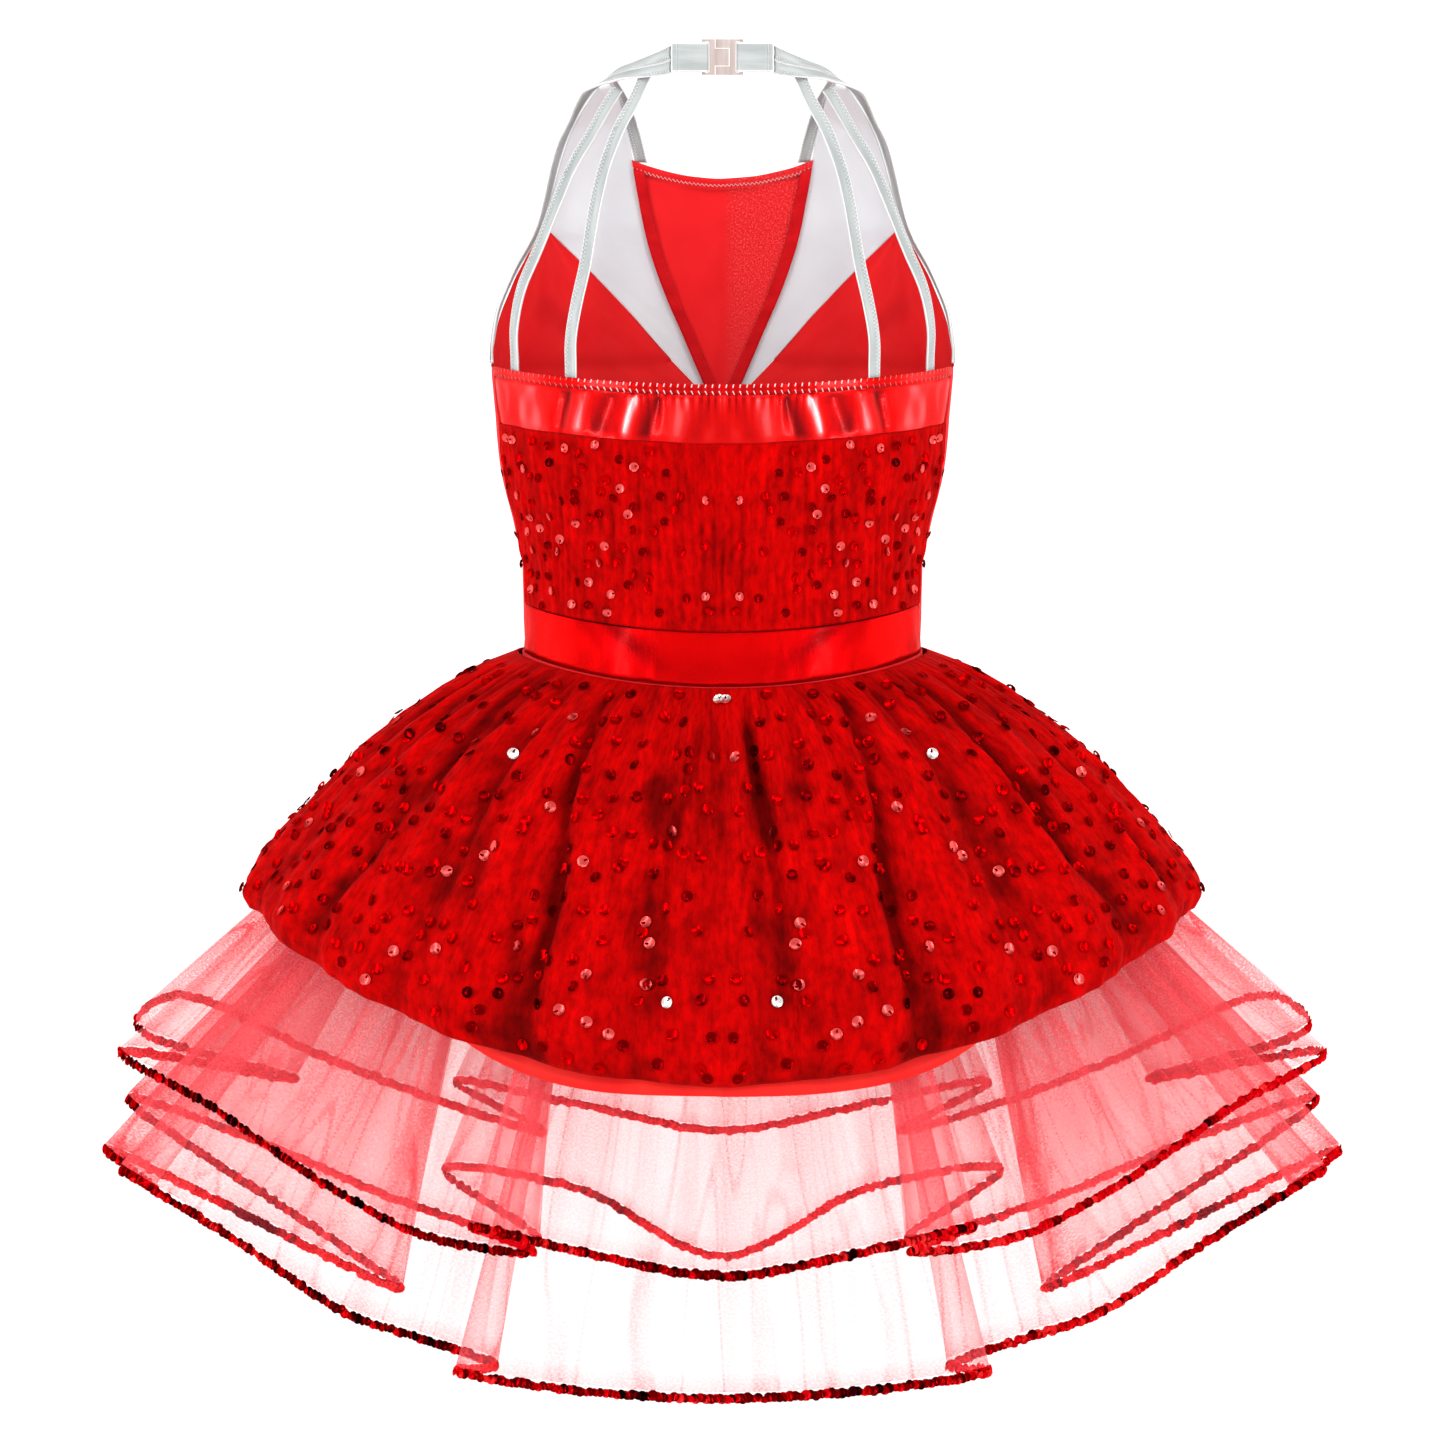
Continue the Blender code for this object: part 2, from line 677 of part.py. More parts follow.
def body_rows(table, seam, front, columns):
    """Rows of the leotard below the waist seam."""
    rows = []
    for middle_height, edge_height, width, edge, middle, end in table:
        end = math.radians(end)
        row = []
        for angle in np.linspace(-end, end, columns + 1):
            rise = (math.cos(angle) - math.cos(end)) / (1 - math.cos(end))
            depth = edge + (middle - edge) * math.cos(angle)
            height = edge_height + (middle_height - edge_height) * rise
            if not rows:
                height = seam_height(seam, math.cos(angle)) - SEAM
            if front:
                row.append((-width * math.sin(angle), AXIS + depth, height))
            else:
                row.append((width * math.sin(angle), AXIS - depth, height))
        rows.append(row)
    return rows


def make_briefs(collection):
    loft("briefs_back", body_rows(SEAT, WAIST_BACK, False, 16), FOIL, "red_lycra", collection)
    loft("briefs_front", body_rows(TUMMY, WAIST_FRONT, True, 16), FOIL, "red_lycra", collection)


def hem_height(side, drop, cosine):
    return side - drop * cosine * cosine


def make_overskirt(collection):
    """Gathered all round. Every second gather runs on to the hem as a wave."""
    total = GATHERS * COLUMNS_PER_GATHER
    half = total // 2
    for name, start in (("overskirt_back", -half // 2), ("overskirt_front", half // 2)):
        rows = []
        for out, down, gather, wave in OVER_PROFILE:
            row = []
            for column in range(start, start + half + 1):
                angle = 2 * math.pi * column / total
                if column == start:
                    angle += SEAM / OVER_WAIST[0]
                ripple = gather * math.sin(GATHERS * angle) + wave * math.cos(GATHERS / 2 * angle)
                width = OVER_WAIST[0] + (OVER_HEM[0] - OVER_WAIST[0]) * out + ripple
                depth = OVER_WAIST[1] + (OVER_HEM[1] - OVER_WAIST[1]) * out + ripple
                cosine = math.cos(angle)
                top = seam_height(WAIST_BACK if cosine > 0 else WAIST_FRONT, abs(cosine)) - SEAM
                foot = hem_height(OVER_HEM_SIDE, OVER_HEM_DROP, cosine)
                row.append((width * math.sin(angle), AXIS - depth * cosine, top + (foot - top) * down))
            rows.append(row)
        loft(name, rows, VELVET, "sequin_velvet", collection)


def make_lining(collection):
    rows = []
    for out, down in UNDER_PROFILE:
        row = []
        for column in range(UNDER_COLUMNS):
            angle = 2 * math.pi * column / UNDER_COLUMNS
            width = UNDER_WAIST[0] + (UNDER_HEM[0] - UNDER_WAIST[0]) * out
            depth = UNDER_WAIST[1] + (UNDER_HEM[1] - UNDER_WAIST[1]) * out
            cosine = math.cos(angle)
            top = hem_height(*UNDER_TOP, cosine)
            foot = UNDER_HEM_SIDE - UNDER_HEM_DROP * math.sin(math.pi / 2 * cosine * cosine)
            row.append((width * math.sin(angle), AXIS - depth * cosine, top + (foot - top) * down))
        rows.append(row)
    loft("skirt_lining", rows, LINING, "red_lining", collection, closed=True)


def net_columns(waist, folds, valley):
    """Waist and hem points of a tier, for its back and front panels, from left to right seen from
    outside. The panels meet in the side valleys."""
    half_width, half_depth, *seam = waist
    right = smooth_path(folds, NET_STEPS)
    ends = np.array([(p[0], AXIS - p[1], p[2]) for p in right])
    angles = np.radians(right[:, 3])
    tops = np.array([
        (half_width * math.sin(a), AXIS - half_depth * math.cos(a), hem_height(*seam, math.cos(a)))
        for a in angles
    ])
    flip = np.array((-1.0, 1.0, 1.0))
    split = valley * NET_STEPS
    back = [np.vstack([side[split:0:-1] * flip, side[: split + 1]]) for side in (tops, ends)]
    front = [np.vstack([side[split:], side[-2 : split - 1 : -1] * flip]) for side in (tops, ends)]
    return back, front


def trimmed(row, distance):
    """A row of points with both ends drawn in by a distance, to leave a seam."""
    row = np.array(row, float)
    for end, inner in ((0, 1), (-1, -2)):
        step = row[inner] - row[end]
        row[end] += step * min(0.5, distance / np.linalg.norm(step))
    return row


def make_net_tier(name, waist, folds, valley, collection):
    for part, (tops, ends) in zip(("back", "front"), net_columns(waist, folds, valley)):
        braid_top = ends + (0.0, 0.0, BRAID_HEIGHT / 2)
        cloth_end = braid_top + (0.0, 0.0, SEAM + NET)
        rows = [trimmed(tops + (cloth_end - tops) * level, SEAM) for level in NET_LEVELS]
        loft(f"{name}_{part}", rows, NET, "red_net", collection)
        braid = [trimmed(braid_top, BRAID_TRIM), trimmed(braid_top - (0.0, 0.0, BRAID_HEIGHT), BRAID_TRIM)]
        strip = loft(f"{name}_braid_{part}", braid, BRAID_THICK, "sequin_braid", collection)
        strip.modifiers["wall"].offset = 0.0


def main():
    clear_scene()
    collection = new_collection("skirted_leotard")
    make_back(collection)
    make_front(collection)
    make_lapels(collection)
    make_inset(collection)
    make_bindings(collection)
    make_strap("back_strap_inner", INNER_STRAP, collection)
    make_strap("back_strap_outer", OUTER_STRAP, collection)
    make_clasp(collection)
    make_loops(collection)
    make_briefs(collection)
    make_overskirt(collection)
    make_lining(collection)
    make_net_tier("short_net", SHORT_NET_WAIST, SHORT_NET_FOLDS, SHORT_NET_VALLEY, collection)
    make_net_tier("long_net", LONG_NET_WAIST, LONG_NET_FOLDS, LONG_NET_VALLEY, collection)


main()
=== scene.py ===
"""Looks of a girl's skirted leotard: its cloth, sewing, sequins and net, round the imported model.

Tables are in millimetres, as in the part's source, with heights measured from 5.9 mm above the nape.
"""
import math

import bpy
import numpy as np
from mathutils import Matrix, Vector


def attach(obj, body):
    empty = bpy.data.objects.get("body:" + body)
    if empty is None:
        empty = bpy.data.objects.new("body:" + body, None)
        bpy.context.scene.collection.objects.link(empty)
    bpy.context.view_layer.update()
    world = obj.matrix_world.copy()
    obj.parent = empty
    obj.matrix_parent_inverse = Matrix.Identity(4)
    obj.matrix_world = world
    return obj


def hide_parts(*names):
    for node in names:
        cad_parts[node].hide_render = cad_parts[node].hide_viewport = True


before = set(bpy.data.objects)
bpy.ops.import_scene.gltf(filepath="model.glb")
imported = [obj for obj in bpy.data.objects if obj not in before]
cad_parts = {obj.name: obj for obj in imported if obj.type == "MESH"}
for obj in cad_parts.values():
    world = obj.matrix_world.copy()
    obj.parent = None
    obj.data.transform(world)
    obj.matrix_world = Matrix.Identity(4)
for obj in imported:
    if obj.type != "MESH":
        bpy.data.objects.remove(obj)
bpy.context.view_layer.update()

MM = 0.001
LIFT = np.array((0, 0, 5.9))
SEAM = 0.3
SIDE_GAP = 0.5
FOIL = 1.2
AXIS = 55
SIDE_SEAM = 80

# Sizes, as in the part's source

TORSO = (
    (-160.5, 118.8, 80), (-180, 117.3, 80), (-190.5, 115.8, 80), (-216, 113.3, 79.5),
    (-235.5, 109.3, 78.7), (-253, 105.2, 77.8), (-268.5, 103.2, 77), (-285, 102.7, 76.5),
    (-320, 103.6, 76),
)
BACK_TOP = (-160.5, 6.7)
SEQUIN_TOP = (-189.6, 7.2)
SEQUIN_FOOT = (-282.3, 8.7)
WAIST_BACK = (-307.6, 11.1)
WAIST_FRONT = (-307.6, 6.5)
YOKE_DRAPES = ((0, 0.5, 9), (28, 0.9, 6), (46, 1.3, 6), (75, 1.1, 8), (99, 0.8, 8))
CHEST = (
    (-160.5, 118.8, 0, 80), (-145, 118.1, 12, 79), (-135, 116.6, 20, 78),
    (-124, 112.9, 29, 76.5), (-112, 107.7, 34, 74.5), (-98, 100.2, 39, 71.5),
    (-86, 95, 40, 68.5), (-76, 92.9, 40, 66), (-50, 86.7, 35, 57), (-36, 79.1, 25, 49.5),
)
LAPEL_SEAM = ((-190, 0), (-172, 17), (-155, 33), (-136, 49), (-114, 70), (-94, 90),
              (-86, 98))
LAPEL_MEETS_ARMHOLE = -89.5
CHEST_ROWS = (-190, -181, -172, -160.5, -150, -135, -124, -112, -98, LAPEL_MEETS_ARMHOLE,
              -76, -57, -46, -36)
FRONT_ROWS = (-309.0, -287.0, -262.0, -240.0, -215.0, -190.0, -181.0, -172.0)
INSET = ((-192, 2), (-172, 10.7), (-149, 19.7), (-125, 28.8), (-98.5, 35.7), (-71.5, 41),
         (-55.5, 45.6))
# The red inset as it shows on the wearer's side, where its edges lap further over the lapels
INSET_INSIDE = ((-192, 2), (-172, 11), (-149, 21), (-125, 31.5), (-98.5, 40.5), (-71.5, 46),
                (-55.5, 48.5))
INSET_LAP = 7
INSET_DIP = 9.5
NECK_EDGE = ((-57, 39.5), (-46, 42), (-36, 44.8))
BINDING = 6.5
HALTER = (
    ((71.9, 59, -22.5), (49, 80, -24)),
    ((67.5, 50, -20.5), (52.9, 67, -17.3)),
    ((62.1, 40, -19), (54.8, 52, -13.2)),
    ((56.2, 28, -17.8), (50.5, 36, -10.3)),
    ((50.9, 18, -16.9), (44.5, 24, -8.6)),
    ((41.2, 9, -15.9), (37.2, 10.5, -5.8)),
    ((28.6, 3, -14.6), (27.6, 3, -1.6)),
    ((25.4, 0.4, -14), (25.4, 0.4, -0.4)),
)
HALTER_LAPEL_ROWS = 2
LAPEL_COLUMNS = 8
STRAP_WIDTH = 6.5
INNER_STRAP = (
    (38.4, 10.8, -14.2), (40.2, 9.3, -18.2), (44.1, 5.2, -26.9), (52.1, 1.2, -41.8), (58.6, -1.8, -59.1),
    (63, -5, -76.4), (68.5, -8, -108), (72.8, -8, -126.9), (76, -6.4, -145.9),
    (76.1, -4.5, -160), (76.1, -4.2, -172),
)
OUTER_STRAP = (
    (52.8, 16, -21), (59.4, 13.2, -31.6), (66.4, 11, -44.1), (73.9, 9.2, -56.5), (83, 8.5, -76.4),
    (93.4, 9.5, -101.8), (101.7, 12.2, -120.8), (105.7, 17, -142), (105.6, 21.7, -158),
    (105.6, 21.8, -169),
)
CLASP_HALF_WIDTH = 10.4
CLASP_THICK = 1.6
CLASP_BAR = 1.5
CLASP_SLOT = 2.3
LOOP_REACH = 25
LOOP_WALL = 0.9
LOOP_HEIGHT = 14.8
LOOP_INNER = 1.15
SEAT = (
    (-319.2, -308.1, 103.8, 0, 76, 80), (-350, -345, 107.5, 0, 78.8, 80),
    (-390, -386, 113, 0, 84, 80), (-425, -410, 98, 38, 86, 90),
    (-460, -438, 67, 50, 77, 90), (-488, -468, 44, 40, 56, 90),
    (-507, -492, 32, 22, 30, 90), (-514, -505, 28, 0.8, 1, 90),
)
TUMMY = (
    (-314.6, -308.1, 103.8, 0, 76, 99.6), (-350, -345, 107.5, 0, 78, 99.6),
    (-390, -386, 113, 0, 81, 99.6), (-425, -410, 92, 34, 76, 90),
    (-460, -438, 54, 38, 62, 90), (-488, -468, 33, 28, 40, 90),
    (-507, -492, 27, 14, 20, 90), (-514, -505, 28, 0.8, 1, 90),
)
OVER_WAIST = (106.3, 78.4)
OVER_HEM = (251.5, 176)
OVER_HEM_SIDE = -437
OVER_HEM_DROP = 66
OVER_PROFILE = (
    (0.00, 0.00, 0.3, 0), (0.17, 0.085, 1.9, 0.3), (0.45, 0.29, 1.9, 1.6), (0.72, 0.58, 1.3, 2.8),
    (0.925, 0.84, 0.7, 3.4), (1.00, 1.00, 0.4, 3.4),
)
GATHERS = 44
UNDER_WAIST = (106.6, 78.9)
UNDER_TOP = (-319, 7)
UNDER_HEM = (205, 166)
UNDER_HEM_SIDE = -395
UNDER_HEM_DROP = 114
UNDER_PROFILE = ((0.00, 0.00), (0.28, 0.22), (0.62, 0.55), (0.88, 0.84), (1.00, 1.00))
SHORT_NET_WAIST = (107.6, 79, -326, 8)
SHORT_NET_FOLDS = (
    (0, 177, -595, 0), (63, 174, -585, 15), (123, 163, -574, 30),
    (92, 149, -590, 36.5), (146, 134, -586, 45), (201, 116, -562, 56),
    (258, 88, -530, 66), (306, 58, -511, 76), (305, 34, -513, 84),
    (222, 8, -533, 92), (310, -18, -510, 100), (292, -42, -498, 108),
    (216, -86, -541, 122), (150, -108, -572, 134), (98, -131, -592, 145.5),
    (150, -153, -568, 156), (76, -178, -588, 168), (0, -183, -603, 180),
)
SHORT_NET_VALLEY = 9
LONG_NET_WAIST = (108.4, 79.6, -336, 8)
LONG_NET_FOLDS = (
    (0, 153, -663, 0), (70, 150, -660, 14), (132, 143, -652, 28),
    (112, 123, -655, 35), (151, 118, -642, 43), (190, 106, -632, 51),
    (242, 89, -602, 62), (306, 74, -566, 74), (290, 59, -580, 79),
    (318, 45, -562, 85), (168, 8, -646, 92), (315, -18, -549, 100),
    (252, -44, -577, 112), (170, -66, -618, 124), (100, -86, -642, 138),
    (154, -108, -608, 150), (80, -128, -624, 166), (0, -134, -664, 180),
)
LONG_NET_VALLEY = 10
BRAID_HEIGHT = 6

# Sizes of what only the scene has

CLOTH = 0.8
RIBBON_WALL = 1.1
CASING = 5.2
YOKE_STITCH = 3.5
PALE_STITCHES_TO = 72.0
FLAP_WIDTH = 6.2
LOOP_STITCHES = 23.0
# Long valleys in the overskirt: degrees round at the waist and hem, from and to shares of the way
# down, depth, half width
VALLEYS = (
    (4, 8.5, 0, 0.75, 3.6, 3),
    (14, 14.5, 0.1, 0.5, 1.6, 3.5),
    (31.5, 21.5, 0, 0.95, 5, 4),
    (24, 17.5, 0.3, 0.9, 1.8, 5),
    (43, 60, 0.08, 1, 3.4, 5),
    (50, 57, 0, 0.5, 2.6, 5),
    (60, 74, 0, 0.9, 2.6, 5),
    (37, 42, 0, 0.8, 2, 4),
    (72, 84, 0, 0.7, 1.8, 4),
    (99, 97, 0, 0.8, 2.4, 5),
    (112, 120, 0, 1, 3.2, 5),
    (128, 131, 0.1, 0.8, 2, 4),
    (140, 148, 0, 0.9, 4.2, 4),
    (159, 158, 0, 0.6, 2, 4),
    (172, 169, 0, 0.9, 3.6, 4),
)
# Ridges and hollows in the yoke's foil: place across from the middle, half width, rise. The rise also paints
# highlights on the ridges and shade in the hollows
YOKE_FOLDS = (
    (8, 4, -0.4), (20, 4.5, 0.75), (35, 5.5, -1.3), (46, 3, 1.4), (59, 7, -1.5),
    (73, 4, 0.75), (83, 4, -1.3), (104, 14, 0.25),
)
HEM_ROLL = 7
# Soft troughs in the knit: place across and height at both ends, depth, half width. Each trough is also
# painted with shade
FRONT_FOLDS = (
    (100, -302, 58, -268, 1.5, 5), (84, -306, 30, -288, 1.1, 4),
    (104, -262, 66, -236, 1.3, 6), (106, -172, 72, -204, 1.4, 7),
    (44, -306, 36, -262, 1, 4.5), (16, -304, 13, -250, 0.8, 5),
    (34, -206, 62, -168, 0.9, 8), (96, -128, 78, -150, 1, 6),
)
SEAT_FOLDS = (
    (8, -330, 10, -470, 1.4, 7), (98, -340, 46, -392, 1.6, 8),
    (84, -372, 34, -428, 1.5, 8), (60, -322, 52, -356, 0.9, 6),
    (88, -322, 78, -344, 0.8, 5), (60, -420, 28, -478, 1.2, 7),
)
SEQUIN_PITCH = 15
# White glints on the overskirt's back: place across and height
GLINTS = ((1.5, -324), (105.3, -351.7), (25.7, -463.3))
# The kind that a glint has, above those that are drawn
GLINT_KIND = 2.0
BRAID_PITCH = 2.6
BRAID_SEQUIN = 2.7
# The share that one layer of net covers
NET_COVER = 0.085

# Stage, light and camera, in metres and watts

FLOOR = -0.86
LIT = (0.0, 0.05, -0.33)
# Name, place, target, size and power. Those at the sides are given for the right and mirrored.
SIDE_LIGHTS = (
    ("strip", (1.75, -1.7, 0.1), LIT, (0.14, 2.4), 19.5),
    ("panel", (2.3, 0.3, 0.0), LIT, (1.6, 2.2), 12.5),
    ("rear", (1.3, 2.4, 0.5), (0.8, 3.4, -0.2), (1.2, 1.8), 8.0),
)
MIDDLE_LIGHTS = (
    ("top_front", (0.0, -1.9, 1.9), LIT, (2.0, 1.0), 19.0),
    ("overhead", (0.0, 0.2, 2.6), LIT, (2.4, 2.4), 15.0),
)
CAMERA_TARGET = (0.0, 0.055, -0.3401)
CAMERA_RISE = 7.0
CAMERA_DISTANCE = 2.2
SENSOR = 36.0
PHOTO_PIXELS = 1445
MM_A_PIXEL = 0.52

# Shapes, as in the part's source


def look_up(table, height, column):
    rows = sorted(table)
    return float(np.interp(height, [r[0] for r in rows], [r[column] for r in rows]))


def blend(a, b, from_a, to_b, at):
    return (a * (to_b - at) + b * (at - from_a)) / (to_b - from_a)


def smooth_path(corners, steps, pace=3):
    """A centripetal Catmull-Rom curve through the corners. Its pace follows the first columns."""
    points = np.array(corners, float)
    points = np.vstack([2 * points[:1] - points[1:2], points, 2 * points[-1:] - points[-2:-1]])
    made = []
    for p0, p1, p2, p3 in zip(points[:-3], points[1:-2], points[2:-1], points[3:]):
        knots = [0.0]
        for a, b in ((p0, p1), (p1, p2), (p2, p3)):
            knots.append(knots[-1] + math.sqrt(float(np.linalg.norm(b[:pace] - a[:pace]))))
        t0, t1, t2, t3 = knots
        for k in range(steps):
            at = t1 + (t2 - t1) * k / steps
            a1, a2, a3 = blend(p0, p1, t0, t1, at), blend(p1, p2, t1, t2, at), blend(p2, p3, t2, t3, at)
            made.append(blend(blend(a1, a2, t0, t2, at), blend(a2, a3, t1, t3, at), t1, t2, at))
    made.append(points[-2])
    return np.array(made)


def refine(grid, down, across):
    """The same surface with more rows and columns, on smooth curves through the given points."""
    grid = np.array(grid, float)
    for steps in (down, across):
        count, other = grid.shape[:2]
        if steps > 1:
            grid = smooth_path(grid.reshape(count, other * 3), steps, other * 3).reshape(-1, other, 3)
        grid = grid.transpose(1, 0, 2)
    return grid


def seam_height(seam, cosine):
    side, drop = seam
    return side - drop * np.maximum(0.0, cosine) ** 2


def hem_height(side, drop, cosine):
    return side - drop * cosine * cosine


def back_point(height, angle, out=0.0):
    width = look_up(TORSO, height, 1) + out
    depth = look_up(TORSO, height, 2) + out
    return np.array((width * math.sin(angle), AXIS - depth * math.cos(angle), height))


def hump(place, middle, half):
    """A soft hump 1 high, with its middle and half width."""
    return np.exp(-(((place - middle) / half) ** 2))


def drape(across, level):
    """How far the yoke's folds stand out at a place across and a share of the way down."""
    rise = sum(high * hump(np.abs(across), place, width) for place, high, width in YOKE_DRAPES)
    return rise * math.sin(math.pi * (0.12 + 0.8 * level))


def back_rows(top, foot, levels, columns, out=0.0, draped=False):
    end = math.radians(SIDE_SEAM)
    rows = []
    for level in levels:
        row = []
        for angle in np.linspace(-end, end, columns + 1):
            upper = seam_height(top, math.cos(angle))
            lower = seam_height(foot, math.cos(angle))
            height = upper + (lower - upper) * level
            fold = drape(back_point(height, angle)[0], level) if draped else 0.0
            row.append(back_point(height, angle, out + fold))
        rows.append(row)
    return rows


def chest_shape(height):
    if height <= CHEST[0][0]:
        return look_up(TORSO, height, 1), 0.0, look_up(TORSO, height, 2), math.radians(SIDE_SEAM)
    width, side, middle = (look_up(CHEST, height, column) for column in (1, 2, 3))
    turn = min(1.0, (height - CHEST[0][0]) / (CHEST[1][0] - CHEST[0][0]))
    return width, side, middle, math.radians(SIDE_SEAM + (90.0 - SIDE_SEAM) * turn)


def chest_point(height, angle, out=0.0):
    width, side, middle, _ = chest_shape(height)
    return np.array(((width + out) * math.sin(angle),
                     AXIS + side - (middle - side + out) * math.cos(angle), height))


def chest_angle(height, across):
    return math.pi - math.asin(min(1.0, across / chest_shape(height)[0]))


def past_edge(height, distance):
    width, side, middle, first = chest_shape(height)
    return first + distance / math.hypot(width * math.cos(first), (middle - side) * math.sin(first))


def seam_angle(height):
    """Where the lapel's seam with the red front is."""
    seam = chest_angle(height, look_up(LAPEL_SEAM, height, 1))
    return max(seam, past_edge(height, BINDING + SEAM) + 0.02)


def neck_angle(height, distance):
    width, side, middle, _ = chest_shape(height)
    last = chest_angle(height, look_up(NECK_EDGE, height, 1))
    return last - distance / math.hypot(width * math.cos(last), (middle - side) * math.sin(last))


def front_rows():
    """The red front's right half, from the top down, from the side to the middle."""
    top = CHEST[0][0]
    plain = [(height, SIDE_GAP) for height in FRONT_ROWS]
    step = [(top - 1.0, SIDE_GAP), (top - 0.4, BINDING + SEAM)]
    edged = [(height, BINDING + SEAM) for height in CHEST_ROWS if top < height <= LAPEL_MEETS_ARMHOLE]
    rows = []
    for height, inset in reversed(plain + step + edged):
        last = seam_angle(height) if height > LAPEL_SEAM[0][0] else math.pi
        row = []
        for angle in np.linspace(past_edge(height, inset), last, 13):
            point = chest_point(height, angle)
            if angle == math.pi:
                point[0] = 0.0
            if height == plain[0][0]:
                point[2] = seam_height(WAIST_FRONT, -math.cos(angle)) + SEAM
            row.append(point)
        rows.append(row)
    return rows


def halter_row(index, begin, end):
    lower, upper = (np.array(p) for p in HALTER[index])
    width = float(np.linalg.norm(upper - lower))
    return [lower + (upper - lower) * distance / width for distance in np.linspace(begin, end, LAPEL_COLUMNS)]


def halter_width(index):
    lower, upper = (np.array(p) for p in HALTER[index])
    return float(np.linalg.norm(upper - lower))


def lapel_rows():
    rows = []
    for height in CHEST_ROWS[1:]:
        if height <= LAPEL_MEETS_ARMHOLE:
            first = seam_angle(height) + SEAM / chest_shape(height)[0]
        else:
            first = past_edge(height, BINDING + SEAM)
        if height < NECK_EDGE[0][0]:
            last = chest_angle(height, max(0.4, look_up(INSET, height, 1) - INSET_LAP))
        else:
            last = neck_angle(height, BINDING + SEAM)
        rows.append([chest_point(height, angle) for angle in np.linspace(first, last, LAPEL_COLUMNS)])
    for index in range(HALTER_LAPEL_ROWS):
        rows.append(halter_row(index, BINDING + SEAM, halter_width(index) - BINDING - SEAM))
    return rows[::-1]


def inset_rows():
    heights = [row[0] for row in INSET]
    rows = []
    for height in reversed(heights):
        reach = look_up(INSET_INSIDE, height, 1)
        rise = max(0.0, (height - heights[-3]) / (heights[-1] - heights[-3]))
        row = []
        for share in np.linspace(1.0, -1.0, 9):
            point = chest_point(height, chest_angle(height, abs(share) * reach), -(FOIL + 2 * SEAM))
            point[0] = math.copysign(point[0], share)
            point[2] -= INSET_DIP * rise * (1 - share * share)
            row.append(point)
        rows.append(row)
    return rows


def binding_rows():
    armhole, neck = [], []
    for height in CHEST_ROWS:
        if height >= CHEST[0][0]:
            raised = max(height, CHEST[0][0] + 4 * SEAM)
            armhole.append([chest_point(raised, past_edge(raised, out)) for out in (0.0, BINDING)])
        if height >= NECK_EDGE[0][0]:
            neck.append([chest_point(height, neck_angle(height, out)) for out in (BINDING, 0.0)])
    for index in range(len(HALTER)):
        width = halter_width(index)
        strand = min(BINDING, width / 2 - SEAM)
        low = halter_row(index, 0.0, strand)
        high = halter_row(index, width - strand, width)
        armhole.append([low[0], low[-1]])
        neck.append([high[0], high[-1]])
    return armhole[::-1], neck[::-1]


def strap_rows(route):
    path = smooth_path(route, 8)
    rows = []
    for i, point in enumerate(path):
        ahead = path[min(i + 1, len(path) - 1)] - path[max(i - 1, 0)]
        out = np.array((point[0] / TORSO[0][1] ** 2, (point[1] - AXIS) / TORSO[0][2] ** 2, 0.0))
        across = np.cross(ahead, out)
        across *= STRAP_WIDTH / 2 / np.linalg.norm(across)
        rows.append([point - across, point + across])
    if rows[0][1][0] < rows[0][0][0]:
        rows = [[b, a] for a, b in rows]
    return rows


def body_rows(table, seam, front, columns):
    rows = []
    for middle_height, edge_height, width, edge, middle, end in table:
        end = math.radians(end)
        row = []
        for angle in np.linspace(-end, end, columns + 1):
            rise = (math.cos(angle) - math.cos(end)) / (1 - math.cos(end))
            depth = edge + (middle - edge) * math.cos(angle)
            height = edge_height + (middle_height - edge_height) * rise
            if not rows:
                height = seam_height(seam, math.cos(angle)) - SEAM
            side = -1.0 if front else 1.0
            row.append((side * width * math.sin(angle), AXIS - side * depth, height))
        rows.append(row)
    return rows


def net_columns(waist, folds, valley, steps):
    half_width, half_depth, *seam = waist
    before, after = (np.array(fold) * (-1.0, 1.0, 1.0, -1.0) for fold in (folds[1], folds[-2]))
    after[3] += 360.0
    right = smooth_path([before, *folds, after], steps)[steps:-steps]
    ends = np.array([(p[0], AXIS - p[1], p[2]) for p in right])
    angles = np.radians(right[:, 3])
    cosine = np.cos(angles)
    tops = np.stack((half_width * np.sin(angles), AXIS - half_depth * cosine, hem_height(*seam, cosine)), -1)
    flip = np.array((-1.0, 1.0, 1.0))
    split = valley * steps
    back = [np.vstack([side[split:0:-1] * flip, side[: split + 1]]) for side in (tops, ends)]
    front = [np.vstack([side[split:], side[-2: split - 1: -1] * flip]) for side in (tops, ends)]
    return back, front


# Helpers for cloth


def waves(u, v, across, down, seed, count=14):
    """Soft seeded unevenness, about 1 high, with features of the given size across and down."""
    draw = np.random.default_rng(seed)
    total = 0.0
    for _ in range(count):
        fu, fv = draw.normal() / across, draw.normal() / down
        total = total + np.sin(fu * u + fv * v + draw.uniform(0, 2 * math.pi))
    return total / math.sqrt(count)


def layered(u, v, *layers):
    """Waves in layers, each given by its height, size across, size down and seed."""
    return sum(high * waves(u, v, across, down, seed) for high, across, down, seed in layers)


def limited(value):
    return np.clip(value, 0.0, 1.0)


def unit(vectors):
    return vectors / np.maximum(1e-9, np.linalg.norm(vectors, axis=-1, keepdims=True))


def normals_of(grid):
    return unit(np.cross(np.gradient(grid, axis=0), np.gradient(grid, axis=1)))


def steps_of(grid, axis):
    """Lengths from each point to the next."""
    return np.linalg.norm(np.diff(grid, axis=axis), axis=-1)


def spans(grid):
    """Lengths along each row from its middle, and down each column from its top."""
    u = np.pad(np.cumsum(steps_of(grid, 1), axis=1), ((0, 0), (1, 0)))
    v = np.pad(np.cumsum(steps_of(grid, 0), axis=0), ((1, 0), (0, 0)))
    return u - u[:, -1:] / 2, v


def pushed(grid, relief):
    return grid + normals_of(grid) * relief[..., None]


